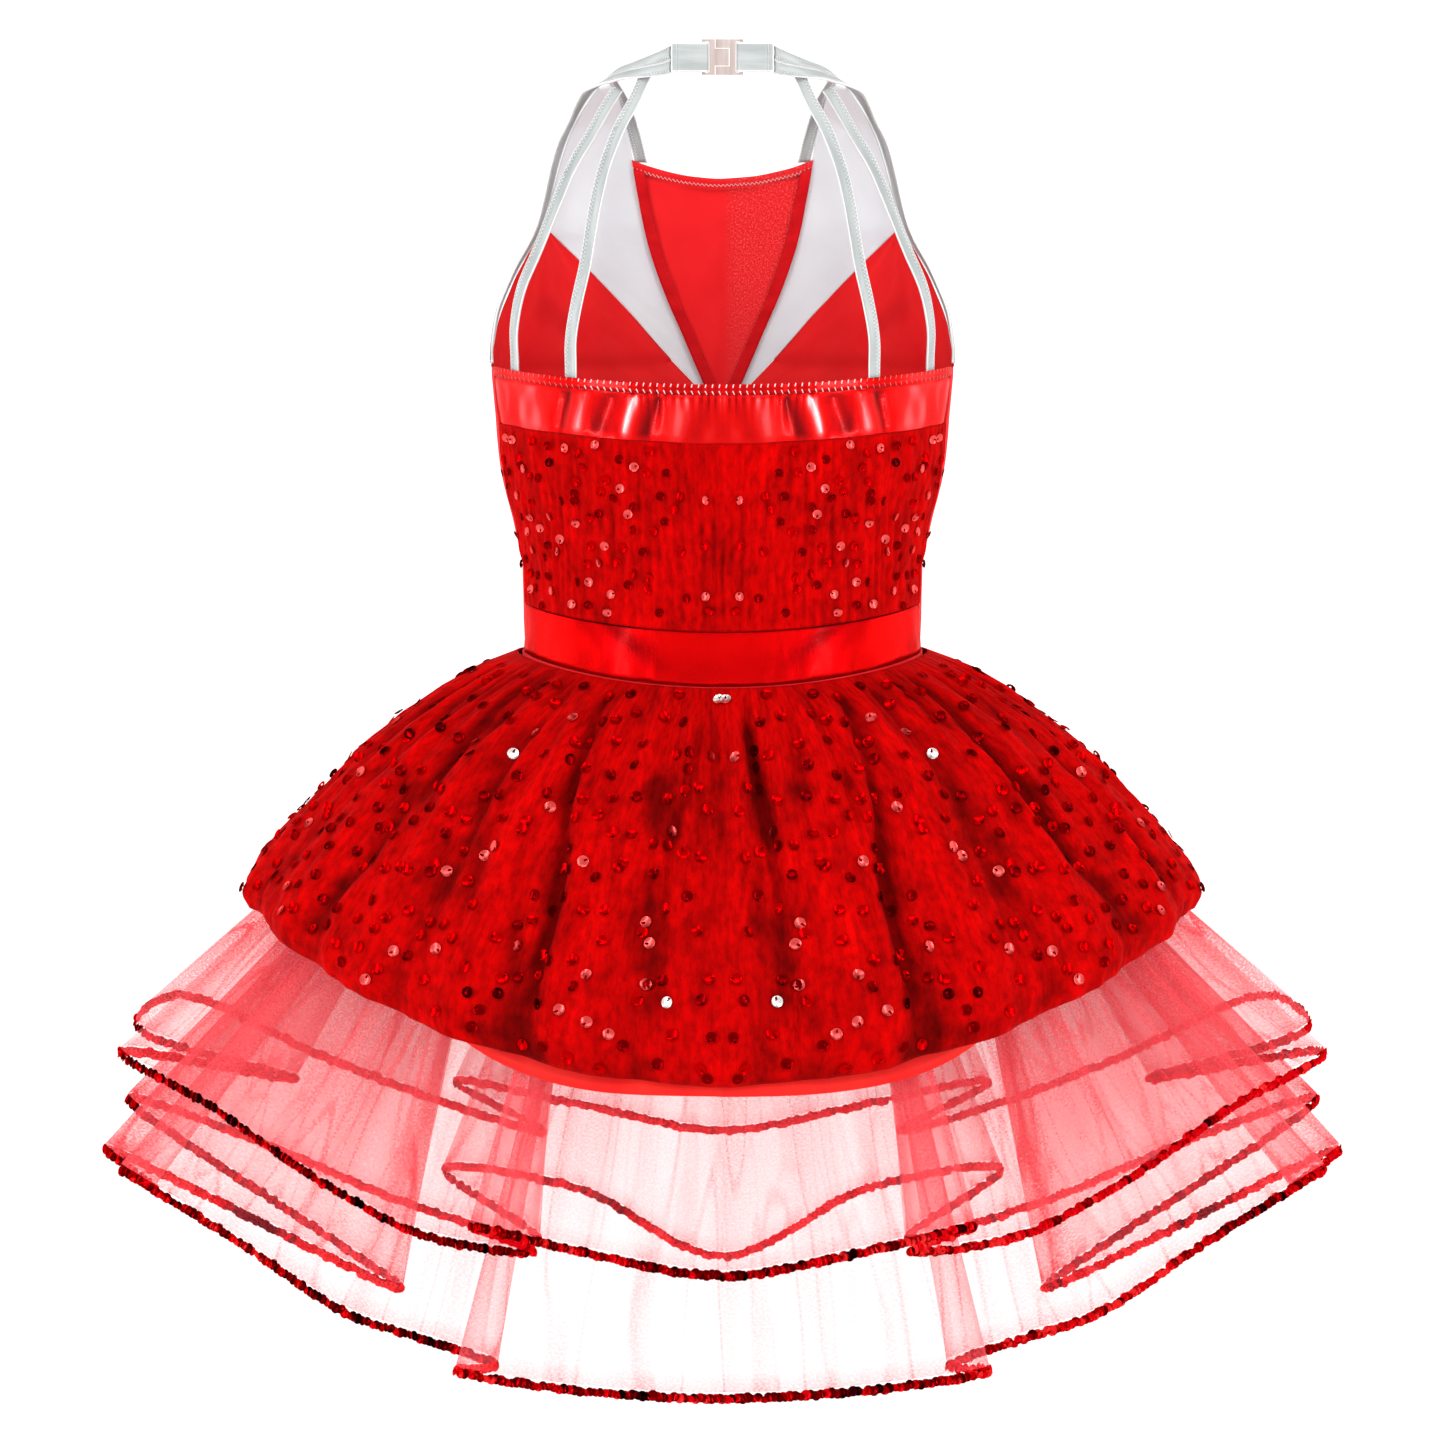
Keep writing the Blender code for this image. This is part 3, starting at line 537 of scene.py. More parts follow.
def troughs(grid, folds):
    """Depths of soft troughs along lines given by place across and height at both ends."""
    total = 0.0
    for x1, z1, x2, z2, depth, half in folds:
        dx, dz = x2 - x1, z2 - z1
        length = math.hypot(dx, dz)
        side, height = np.abs(grid[..., 0]) - x1, grid[..., 2] - z1
        share = (side * dx + height * dz) / length ** 2
        away = (side * dz - height * dx) / length + 1.5 * np.sin(3.0 * share + x1)
        total = total + depth * np.exp(-((away / half) ** 2) - (2.2 * (share - 0.4)) ** 4)
    return total


def linked(name, data):
    obj = bpy.data.objects.new(name, data)
    bpy.context.scene.collection.objects.link(obj)
    return obj


def ride(obj, slot, *nodes):
    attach(obj, "root")
    if nodes:
        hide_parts(*nodes)


def mesh_object(name, points, faces, look):
    """A smooth piece from points in millimetres."""
    mesh = bpy.data.meshes.new(name)
    mesh.from_pydata(((np.asarray(points, float) + LIFT) * MM).tolist(), [], faces)
    mesh.shade_smooth()
    mesh.materials.append(LOOKS[look])
    return linked(name, mesh)


def cloth(name, grid, look, slot, nodes, held, closed=False, thick=CLOTH, side=-1.0, cover=None, painted_shading=None,
          mirror=False):
    """A sheet through a grid of points, given from the top down and from left to right as seen from
    outside. thick is its wall, or 0 for a single layer of net. held only decides whether an area is worked
    out, which nothing uses."""
    grid = np.asarray(grid, float)
    rows, columns = grid.shape[:2]
    r = np.arange(rows - 1)[:, None] * columns
    c = np.arange(columns if closed else columns - 1)[None, :]
    right = (c + 1) % columns
    faces = np.stack((r + c, r + columns + c, r + columns + right, r + right), -1).reshape(-1, 4)
    obj = mesh_object(name, grid.reshape(-1, 3), faces.tolist(), look)
    ring = np.concatenate([grid, grid[:, :1]], axis=1) if closed else grid
    u, v = spans(ring)
    u, v = u[rows // 2] * MM, v[:, ring.shape[1] // 2] * MM
    corners = np.stack((
        np.broadcast_to(np.stack((u[:-1], u[:-1], u[1:], u[1:]), -1)[None], (rows - 1, len(u) - 1, 4)),
        np.broadcast_to(-np.stack((v[:-1], v[1:], v[1:], v[:-1]), -1)[:, None], (rows - 1, len(u) - 1, 4)),
    ), -1)
    layer = obj.data.uv_layers.new(name="cloth")
    layer.data.foreach_set("uv", corners.reshape(-1).astype(np.float32))
    for label, values in (("cover", cover), ("painted_shading", painted_shading)):
        if values is not None:
            share = obj.data.attributes.new(label, "FLOAT", "POINT")
            share.data.foreach_set("value", limited(np.asarray(values, np.float32)).reshape(-1))
    if mirror:
        obj.modifiers.new("halves", "MIRROR").merge_threshold = 0.00002
    if thick:
        wall = obj.modifiers.new("wall", "SOLIDIFY")
        wall.thickness = thick * MM
        wall.offset = side
    ride(obj, slot, *nodes)
    if held:
        halves = 2 if mirror else 1
        a, b = np.diff(ring, axis=1)[:-1], np.diff(ring, axis=0)[:, :-1]
        area = float(np.linalg.norm(np.cross(a, b), axis=-1).sum()) * MM * MM * halves
        wide = float(steps_of(ring, 1).sum(axis=1).max()) * MM * halves
        long = float(steps_of(grid, 0).sum(axis=0).max()) * MM
        area = min(max(area, 0.31 * wide * long), 0.999 * wide * long)


def both_sides(name, grid, look, slot, node, held, **more):
    """A piece on the wearer's right, and its mirror image on the left."""
    for hand, side in (("right", grid), ("left", grid[:, ::-1] * (-1.0, 1.0, 1.0))):
        cloth(f"{name}_{hand}", side, look, slot, [f"{node}_{hand}"], held, **more)


def along(grid, t):
    """The line of points at a share of the way across a grid whose rows run along it."""
    place = t * (grid.shape[1] - 1)
    low = min(int(place), grid.shape[1] - 2)
    return grid[:, low] + (grid[:, low + 1] - grid[:, low]) * (place - low)


def even(points, pitch):
    """Points at an even pitch along a line."""
    reach = np.concatenate([[0.0], np.cumsum(steps_of(points, 0))])
    at = np.arange(0.0, reach[-1], pitch)
    return np.stack([np.interp(at, reach, points[:, k]) for k in range(3)], -1)


def stitch_lines(grid, t1, t2, pitch, lift):
    """Two lines of points, each at a share of the way across a grid, lifted off it."""
    lifted = grid + normals_of(grid) * lift
    return even(along(lifted, t1), pitch), even(along(lifted, t2), pitch)


def zigzag(grid, t1, t2, pitch, lift):
    """A zigzag line of sewing between two shares of the way across a grid."""
    one, two = stitch_lines(grid, t1, t2, pitch / 2, lift)
    count = min(len(one), len(two))
    line = one[:count].copy()
    line[1::2] = two[:count][1::2]
    return line


def ticks(grid, t1, t2, pitch, lift):
    """Short stitches between two shares of the way across a grid."""
    return [np.array(pair) for pair in zip(*stitch_lines(grid, t1, t2, pitch, lift))]


def ring_faces(rings, sides):
    """Faces between rings of points that follow each other."""
    faces = []
    for low in range(0, (rings - 1) * sides, sides):
        for k in range(sides):
            n = (k + 1) % sides
            faces.append((low + k, low + n, low + sides + n, low + sides + k))
    return faces


def threads(name, lines, radius, look, slot):
    """Lines of thread, each a thin tube of four sides, joined into one piece."""
    points, faces = [], []
    for line in lines:
        ahead = unit(np.gradient(np.asarray(line, float), axis=0))
        up = unit(np.cross(ahead, np.where(np.abs(ahead[:, 2:]) < 0.9, (0.0, 0.0, 1.0), (1.0, 0.0, 0.0))))
        aside = np.cross(ahead, up)
        start = len(points)
        for p, a, b in zip(line, up * radius, aside * radius):
            points.extend((p + a, p + b, p - a, p - b))
        faces.extend(tuple(start + corner for corner in face) for face in ring_faces(len(line), 4))
        last = len(points) - 4
        faces.append((start + 3, start + 2, start + 1, start))
        faces.append((last, last + 1, last + 2, last + 3))
    ride(mesh_object(name, points, faces, look), slot)


def scattered(name, template, places, frames, sizes, shades, slot, nodes=()):
    """Sequins joined into one piece, each with a colour of its own."""
    verts, faces = template
    points = places[:, None, :] + np.einsum("nij,vj->nvi", frames, verts) * sizes[:, None, None]
    count = len(verts)
    all_faces = [[i + n * count for i in face] for n in range(len(places)) for face in faces]
    obj = mesh_object(name, points.reshape(-1, 3), all_faces, "sequin")
    every = np.ones((len(places), count, 4), np.float32)
    every[..., :3] = shades[:, None, :]
    obj.data.attributes.new("shade", "FLOAT_COLOR", "POINT").data.foreach_set("color", every.reshape(-1))
    ride(obj, slot, *nodes)


def sequin_form(sides, hole=0.24, off=0.4, cup=0.16):
    """A cupped disc of radius 1, with a hole off its middle or a closed middle."""
    verts = []
    for radius, height, shift in ((1.0, cup, 0.0), (0.62, 0.0, 0.0), (hole, 0.0, off)):
        for k in range(sides):
            turn = 2 * math.pi * k / sides
            verts.append((radius * math.cos(turn), radius * math.sin(turn) + shift, height))
    faces = ring_faces(3, sides)
    if not off:
        faces.append(tuple(range(2 * sides, 3 * sides)))
    return np.array(verts), faces


def frames_for(normals, up, tilt, spin):
    """Turned frames whose third axis is the normal, tipped and spun by the given angles."""
    third = normals / np.linalg.norm(normals, axis=-1, keepdims=True)
    first = unit(np.cross(up, third))
    second = np.cross(third, first)
    c, s = np.cos(spin)[:, None], np.sin(spin)[:, None]
    first, second = first * c + second * s, second * c - first * s
    c, s = np.cos(tilt)[:, None], np.sin(tilt)[:, None]
    second, third = second * c + third * s, third * c - second * s
    return np.stack((first, second, third), -1)


def shade_of(value, steps):
    """The first shade whose limit is above the value."""
    return next(shade for limit, shade in steps if value < limit)


# Materials

LOOKS = {}


class Look:
    """A material of shader nodes round one Principled shader, kept in LOOKS under a short name."""

    def __init__(self, short, name, **values):
        LOOKS[short] = material = bpy.data.materials.new(name)
        material.use_nodes = True
        self.tree = material.node_tree
        self.shader = self.tree.nodes["Principled BSDF"]
        for key, value in values.items():
            self.shader.inputs[key.replace("_", " ")].default_value = value
        self.coordinates = self.tree.nodes.new("ShaderNodeTexCoord")

    def node(self, kind, inputs, **settings):
        """A new node. Each of its inputs is a plain value or another node's output."""
        made = self.tree.nodes.new("ShaderNode" + kind)
        for key, value in settings.items():
            setattr(made, key, value)
        for key, value in inputs.items():
            if isinstance(value, bpy.types.NodeSocket):
                self.tree.links.new(value, made.inputs[key])
            else:
                made.inputs[key].default_value = value
        return made.outputs

    def placed(self, scale, space):
        return self.node("Mapping", {"Vector": self.coordinates.outputs[space], "Scale": scale})["Vector"]

    def noise(self, scale, detail=3.0, rough=0.5, space="UV"):
        return self.node("TexNoise", {"Vector": self.placed(scale, space), "Scale": 1.0, "Detail": detail,
                                      "Roughness": rough})["Fac"]

    def ribs(self, scale, distortion=1.0, direction="X"):
        inputs = {"Vector": self.placed(scale, "UV"), "Scale": 1.0, "Distortion": distortion}
        return self.node("TexWave", inputs, wave_type="BANDS", bands_direction=direction)["Fac"]

    def attribute(self, name):
        return self.node("Attribute", {}, attribute_name=name)

    def across(self, space):
        """The place from left to right."""
        return self.node("SeparateXYZ", {"Vector": self.coordinates.outputs[space]})["X"]

    def ramp(self, source, *stops):
        made = self.tree.nodes.new("ShaderNodeValToRGB")
        while len(made.color_ramp.elements) < len(stops):
            made.color_ramp.elements.new(0.5)
        for element, (place, colour) in zip(made.color_ramp.elements, stops):
            element.position = place
            element.color = (*colour, 1.0) if isinstance(colour, tuple) else (colour,) * 3 + (1.0,)
        self.tree.links.new(source, made.inputs["Fac"])
        return made.outputs["Color"]

    def patches(self, scale, detail, low, high, space="UV"):
        """Soft patches of two tones."""
        return self.ramp(self.noise(scale, detail, space=space), (0.3, low), (0.7, high))

    def times(self, a, b):
        return self.node("Math", {0: a, 1: b}, operation="MULTIPLY")["Value"]

    def mixed(self, share, a, b, kind="MULTIPLY"):
        inputs = {"Factor": share, "A": a, "B": b}
        return self.node("Mix", inputs, data_type="RGBA", blend_type=kind)["Result"]

    def to(self, source, target="Base Color"):
        self.tree.links.new(source, self.shader.inputs[target])

    def bumped(self, *layers):
        """Layers of (height, strength, distance in mm)."""
        below = {}
        for height, strength, distance in layers:
            inputs = {"Strength": strength, "Distance": distance * MM, "Height": height, **below}
            made = self.node("Bump", inputs)
            below = {"Normal": made["Normal"]}
        self.to(made["Normal"], "Normal")


def foil_look(short, coat):
    look = Look(short, f"red_{short}_cloth", Metallic=0.8, Coat_Weight=coat, Coat_Roughness=0.16,
                Specular_IOR_Level=0.1, Specular_Tint=(1.0, 0.2, 0.2, 1.0))
    # Painted shade and painted highlights: the shading attribute runs from dark red in the hollows to pink
    # and near-white highlights on the ridges. The patches below differ at random.
    tone = look.ramp(look.attribute("painted_shading")["Fac"], (0.0, (0.22, 0.0, 0.001)), (0.3, (0.58, 0.0, 0.001)),
                     (0.55, (0.86, 0.001, 0.001)), (0.72, (0.97, 0.02, 0.02)), (0.86, (1.0, 0.13, 0.14)),
                     (1.0, (1.0, 0.70, 0.72)))
    patches = look.ramp(look.noise((28.0, 60.0, 1.0), 3.0), (0.25, 0.84), (0.65, 1.0))
    look.to(look.mixed(1.0, tone, patches))
    look.to(look.ramp(look.noise((160.0, 60.0, 1.0), 2.0), (0.2, 0.22), (0.8, 0.4)), "Roughness")
    look.bumped((look.noise((140.0, 45.0, 1.0), 5.0, 0.6), 0.5, 0.5),
                (look.noise((2400.0, 2400.0, 1.0)), 0.25, 0.1))


def knit_look():
    look = Look("knit", "red_knit_cloth", Roughness=0.7, Sheen_Weight=0.1, Sheen_Roughness=0.5,
                Specular_IOR_Level=0.08, Sheen_Tint=(1.0, 0.3, 0.3, 1.0))
    tone = look.patches((30.0, 30.0, 1.0), 4.0, (0.81, 0.008, 0.012), (0.91, 0.02, 0.022))
    # Painted shade: the shading attribute darkens the knit in its troughs, down to 0.45 of its colour.
    look.to(look.mixed(1.0, tone, look.ramp(look.attribute("painted_shading")["Fac"], (0.0, 1.0), (1.0, 0.45))))
    look.bumped((look.ribs((380.0, 380.0, 1.0), 1.5), 0.12, 0.1),
                (look.ribs((0.0, 700.0, 1.0), 0.6, "Y"), 0.12, 0.1),
                (look.noise((45.0, 30.0, 1.0), 3.0), 0.3, 0.8))


def reverse_look():
    """The foil's inside: plain on the wearer's left; on the right, fine grit with pale specks of painted
    sheen. The shading attribute adds painted shade along the hem.
    """
    look = Look("reverse", "red_foil_reverse", Roughness=0.5, Sheen_Weight=0.1, Sheen_Roughness=0.4,
                Specular_IOR_Level=0.12)
    grit = look.noise((1500.0, 900.0, 1.0), 3.0, 0.7)
    side = look.ramp(look.across("Object"), (0.0, 0.0), (0.006, 1.0))
    plain = look.patches((40.0, 25.0, 1.0), 3.0, (0.90, 0.010, 0.014), (1.0, 0.018, 0.022))
    # The right half's pale pink specks are a painted sheen; the grit also makes a bump.
    satin = look.ramp(grit, (0.40, (0.80, 0.012, 0.016)), (0.56, (0.98, 0.03, 0.035)),
                      (0.70, (1.0, 0.15, 0.14)))
    # Painted shade along the hem's groove, and the hem band a little darker.
    painted_shading = look.ramp(look.attribute("painted_shading")["Fac"], (0.0, 0.3), (1.0, 1.0))
    look.to(look.mixed(1.0, look.mixed(side, plain, satin, "MIX"), painted_shading))
    look.bumped((grit, 0.25, 0.2))


def velvet_look():
    look = Look("velvet", "red_velvet_cloth", Roughness=0.85, Sheen_Weight=0.35, Sheen_Roughness=0.35,
                Sheen_Tint=(1.0, 0.02, 0.02, 1.0), Specular_IOR_Level=0.03)
    streaks = look.noise((420.0, 60.0, 1.0), 3.0, 0.6)
    tone = look.ramp(look.noise((70.0, 26.0, 1.0), 5.0, 0.62), (0.30, (0.36, 0.0, 0.0002)),
                     (0.48, (0.58, 0.0, 0.0002)), (0.72, (0.80, 0.0004, 0.0004)))
    tone = look.mixed(0.8, tone, look.ramp(streaks, (0.25, 0.62), (0.6, 1.0)))
    # Painted shade and light from the shading attribute: darker in the hollows of gathers and folds, lighter
    # on their ridges and on the band's sides. The tone, streaks and mottle differ at random.
    painted_shading = look.ramp(look.attribute("painted_shading")["Fac"], (0.1, (0.30, 0.3, 0.3)), (0.5, (0.86, 0.9, 0.9)),
                       (0.9, 1.0))
    mottle = look.ramp(look.noise((260.0, 150.0, 1.0), 2.0), (0.32, 0.62), (0.58, 1.0))
    look.to(look.mixed(0.85, look.mixed(1.0, tone, painted_shading), mottle))
    look.bumped((streaks, 0.5, 0.5), (look.noise((900.0, 500.0, 1.0), 4.0, 0.7), 0.5, 0.35))


def flap_look():
    look = Look("flap", "red_flap_cloth", Roughness=0.6, Specular_IOR_Level=0.1)
    look.to(look.patches((60.0, 90.0, 1.0), 4.0, (0.56, 0.002, 0.006), (0.78, 0.008, 0.012)))
    look.bumped((look.ribs((380.0, 380.0, 1.0), 1.5), 0.2, 0.15))


def satin_look():
    look = Look("satin", "white_satin_cloth", Roughness=0.42, Sheen_Weight=0.2, Sheen_Roughness=0.4,
                Anisotropic=0.5)
    look.to(look.patches((18.0, 12.0, 1.0), 3.0, (0.80, 0.82, 0.86), (0.86, 0.88, 0.91)))
    look.bumped((look.ribs((900.0, 0.0, 1.0), 0.4), 0.1, 0.1),
                (look.noise((26.0, 60.0, 1.0), 3.0), 0.35, 1.0))


def ribbon_look(short, half):
    """Silver grey with white edges. half is the ribbon's half width in mm."""
    look = Look(short, "silver_satin_" + short, Metallic=0.15, Roughness=0.36, Coat_Weight=0.15,
                Coat_Roughness=0.2)
    tone = look.ramp(look.noise((200.0, 26.0, 1.0), 4.0), (0.3, (0.33, 0.36, 0.355)),
                     (0.68, (0.52, 0.55, 0.545)))
    reach = look.node("Math", {0: look.across("UV")}, operation="ABSOLUTE")["Value"]
    edge = look.ramp(look.times(reach, 1000.0 / half), (0.85, 0.0), (0.90, 1.0))
    look.to(look.mixed(edge, tone, (0.95, 0.95, 0.95, 1.0), "MIX"))
    look.bumped((look.ribs((0.0, 1300.0, 1.0), 0.5, "Y"), 0.3, 0.12),
                (look.noise((240.0, 90.0, 1.0), 3.0), 0.5, 0.3))


def lining_look():
    look = Look("lining", "red_lining_cloth", Roughness=0.5, Sheen_Weight=0.05, Specular_IOR_Level=0.15)
    look.to(look.patches((40.0, 20.0, 1.0), 4.0, (0.88, 0.006, 0.006), (1.0, 0.02, 0.012)))
    look.bumped((look.noise((160.0, 30.0, 1.0), 3.0), 0.4, 0.6),
                (look.ribs((1200.0, 0.0, 1.0), 0.4), 0.08, 0.1))


def net_look():
    look = Look("net", "red_net_cloth", Roughness=0.6, Specular_IOR_Level=0.25)
    weave = look.noise((900.0, 900.0, 1.0), 0.0)
    fine = look.ramp(weave, (0.35, 0.75), (0.65, 1.25))
    lines = look.ramp(look.noise((34.0, 3.2, 1.0), 1.5), (0.30, 0.85), (0.482, 0.9), (0.497, 1.9),
                      (0.512, 1.0), (0.60, 1.15), (0.608, 1.9), (0.62, 1.2))
    look.to(look.times(look.times(look.attribute("cover")["Fac"], fine), lines), "Alpha")
    look.to(look.ramp(weave, (0.3, (0.92, 0.05, 0.07)), (0.7, (1.0, 0.085, 0.10))))


def sequin_look():
    look = Look("sequin", "red_sequins", Metallic=1.0, Roughness=0.24, Specular_Tint=(1.0, 0.3, 0.3, 1.0))
    speck = look.patches((700.0, 700.0, 700.0), 2.0, 0.8, 1.0, "Object")
    look.to(look.mixed(1.0, look.attribute("shade")["Color"], speck))
    look.bumped((look.noise((600.0, 600.0, 600.0), 2.0, space="Object"), 0.2, 0.2))


def thread_look(name, low, high):
    look = Look(name, name, Roughness=0.5, Sheen_Weight=0.3)
    twist = look.noise((1500.0, 1500.0, 1500.0), 2.0, space="Object")
    look.to(look.ramp(twist, (0.3, low), (0.7, high)))
    look.bumped((twist, 0.4, 0.1))


def plastic_look():
    look = Look("plastic", "clear_plastic_clasp", Transmission_Weight=0.4, Roughness=0.16, Coat_Weight=0.4,
                IOR=1.46)
    streak = look.noise((420.0, 420.0, 30.0), 3.0, space="Object")
    # The vertical streaks in the colour are painted reflections; the same streaks make a real bump.
    look.to(look.ramp(streak, (0.3, (0.60, 0.45, 0.41)), (0.7, (0.84, 0.72, 0.68))))
    look.bumped((streak, 0.3, 0.3))


def floor_look():
    look = Look("floor", "pale_studio_floor", Roughness=0.9, Emission_Color=(1.0, 1.0, 1.0, 1.0),
                Emission_Strength=0.22)
    soft = look.noise((1.5, 1.5, 1.5), 2.0, space="Object")
    look.to(look.ramp(soft, (0.2, 0.93), (0.8, 0.96)))


def make_looks():
    foil_look("foil", 0.16)
    foil_look("waist_foil", 0.03)
    knit_look()
    reverse_look()
    velvet_look()
    flap_look()
    satin_look()
    ribbon_look("ribbon", STRAP_WIDTH / 2)
    ribbon_look("fold", LOOP_HEIGHT / 2)
    lining_look()
    net_look()
    sequin_look()
    thread_look("white_thread", (0.80, 0.80, 0.82), (0.95, 0.95, 0.96))
    thread_look("red_thread", (0.80, 0.02, 0.02), (0.98, 0.16, 0.14))
    thread_look("pale_thread", (0.92, 0.55, 0.55), (1.0, 0.85, 0.85))
    plastic_look()
    floor_look()


# The leotard


def make_yoke():
    """Metallic yoke: a puckered casing along its top, and ridges and hollows below, with painted highlights
    and painted shade on them.
    """
    levels = (0.0, 0.2, 0.45, 0.75, 1.0)
    grid = refine(back_rows(BACK_TOP, (SEQUIN_TOP[0] + SEAM, SEQUIN_TOP[1]), levels, 36, draped=True), 14, 8)
    u, v = spans(grid)
    side = np.abs(u)
    inner = limited((95.0 - side) / 25.0)
    groove = hump(v, CASING, 0.7)
    pucker = np.cos(2 * math.pi * side / 4.4 + 1.6 * waves(side, v, 6.0, 14.0, 3))
    pucker = pucker * (0.6 + 0.4 * waves(side, v, 9.0, 30.0, 5)) * inner
    relief = 0.45 * np.sin(math.pi * limited(v / CASING)) - 0.45 * groove
    relief += pucker * np.where(v < CASING, 0.2, 0.42 * np.exp(-np.maximum(0.0, v - CASING) / 7.0))
    relief += 0.5 * waves(side, v, 7.0, 30.0, 11) * limited((v - CASING) / 6.0)
    below = limited((v - CASING) / 3.0) * limited((v[-1:] - v) / 6.0 + 0.35)
    lean = side - 0.16 * (v - 12.0) + 1.2 * np.sin(v / 6.0 + 0.4) + 0.8 * waves(side, v, 40.0, 12.0, 12)
    folds = sum(rise * hump(lean, place, half) for place, half, rise in YOKE_FOLDS) * below
    # Painted light: highlights on the ridges and on the puckers under the casing, painted shade in the
    # hollows and in the groove under the casing, painted lighter sides, and the casing a little darker.
    painted_shading = 0.52 + 0.34 * folds + 0.10 * waves(side, v, 4.0, 12.0, 13) * below
    painted_shading += 0.36 * pucker * np.exp(-np.abs(v - CASING - 2.5) / 4.5)
    painted_shading += 0.2 * limited((side - 92.0) / 10.0) - 0.35 * groove - 0.16 * (v < CASING) * inner
    yoke = pushed(grid, relief + folds)
    cloth("yoke_foil", yoke, "foil", "red_foil", ["back_yoke"], "stretched", painted_shading=painted_shading)
    level = CASING / float(v[-1].mean())
    sewing = yoke.transpose(1, 0, 2)
    sewn = [line for place in (0.04, level)
            for line in ticks(sewing, place - 0.035, place + 0.035, YOKE_STITCH, -0.3)]
    near = [abs(line[0][0]) < PALE_STITCHES_TO for line in sewn]
    threads("yoke_stitches", [line for line, keep in zip(sewn, near) if keep], 0.3, "pale_thread", "red_foil")
    threads("yoke_side_stitches", [line for line, keep in zip(sewn, near) if not keep], 0.2, "red_thread",
            "red_foil")


def make_band():
    """Gathered velvet across the back. Its surface carries the sequins."""
    levels = (0.0, 0.23, 0.5, 0.75, 1.0)
    rows = back_rows(SEQUIN_TOP, (SEQUIN_FOOT[0] + SEAM, SEQUIN_FOOT[1]), levels, 20, out=0.4)
    grid = refine(rows, 20, 18)
    u, v = spans(grid)
    side = np.abs(u)
    edge = limited(v / 5.0) * limited((v[-1:] - v) / 5.0)
    gather = np.cos(2 * math.pi * side / 5.6 + 2.2 * waves(side, v, 11.0, 60.0, 21))
    rough = waves(side, v, 2.4, 6.0, 23)
    relief = (0.38 * gather * (0.7 + 0.5 * waves(side, v, 8.0, 22.0, 22)) + 0.5 * rough) * (0.3 + 0.7 * edge)
    # Painted shade in the gathers' hollows, painted light on their tops and on the band's sides, with random
    # tone.
    painted_shading = 0.62 + 0.13 * gather * (0.5 + 0.5 * edge) + 0.15 * rough + 0.12 * waves(side, v, 12.0, 14.0, 24)
    painted_shading += 0.14 * limited((side - 55.0) / 40.0)
    band = pushed(grid, relief)
    cloth("band_velvet", band, "velvet", "sequin_velvet", ["back_sequin_panel"], "stretched", painted_shading=painted_shading)
    return band


def make_waist():
    """Metallic waist panel with a painted shade in a dark slanting band on each side."""
    rows = back_rows(SEQUIN_FOOT, (WAIST_BACK[0] + SEAM, WAIST_BACK[1]), (0.0, 0.5, 1.0), 20)
    grid = refine(rows, 14, 10)
    u, v = spans(grid)
    relief = 0.35 * waves(u, v, 14.0, 7.0, 31) + 0.22 * waves(u, v, 5.0, 12.0, 32) * limited((v - 14.0) / 8.0)
    relief -= 0.5 * hump(v, 0.0, 1.2) + 0.5 * hump(v, v[-1:], 1.2)
    side = np.abs(u)
    slant = side - 56.0 + v
    fade = limited((22.0 - v) / 12.0)
    # Painted shade in two slanting bands on each side and along the top seam, and painted lighter sides, with
    # random tone.
    painted_shading = 0.42 + 0.05 * waves(side, v, 18.0, 8.0, 33) - 0.42 * hump(slant, 0.0, 11.0) * fade
    painted_shading += 0.06 * limited((side - 58.0) / 14.0) - 0.16 * hump(slant, 20.0, 6.0) * fade
    painted_shading -= 0.25 * hump(v, 0.0, 1.0)
    cloth("waist_foil", pushed(grid, relief), "waist_foil", "red_foil", ["back_waist"], "stretched",
          painted_shading=painted_shading)


def make_front():
    """The red front, as a half and its mirror image, eased smooth away from its edges."""
    grid = refine(front_rows(), 4, 4)
    grid[:, -1, 0] = np.where(grid[:, -1, 0] < 1.0, 0.0, grid[:, -1, 0])
    u, v = spans(grid)
    seam = np.where(grid[:, -1:, 0] > 0.0, limited((u[:, -1:] - u) / 8.0), 1.0)
    loose = (limited((u - u[:, :1]) / 12.0) * seam)[1:-1, :, None] * (0.0, 0.5, 0.5)
    for _ in range(30):
        grid[1:-1] += ((grid[:-2] + grid[2:]) / 2 - grid[1:-1]) * loose
    u, v = spans(grid)
    inner = limited(np.abs(u - u[:, -1:]) / 6.0)
    relief = layered(u, v, (0.3, 14.0, 24.0, 41), (0.15, 5.0, 9.0, 42)) * inner
    trough = troughs(grid, FRONT_FOLDS) * inner
    # The troughs are pressed in and also painted darker, as painted shade.
    cloth("front_knit", pushed(grid, relief - trough), "knit", "red_lycra", ["front_panel"], "stretched",
          mirror=True, painted_shading=0.3 * trough)


def make_lapels():
    grid = refine(lapel_rows(), 5, 4)
    relief = layered(*spans(grid), (0.28, 10.0, 26.0, 51), (0.1, 3.0, 8.0, 52))
    both_sides("lapel_satin", pushed(grid, relief), "satin", "white_satin", "lapel", "stretched")


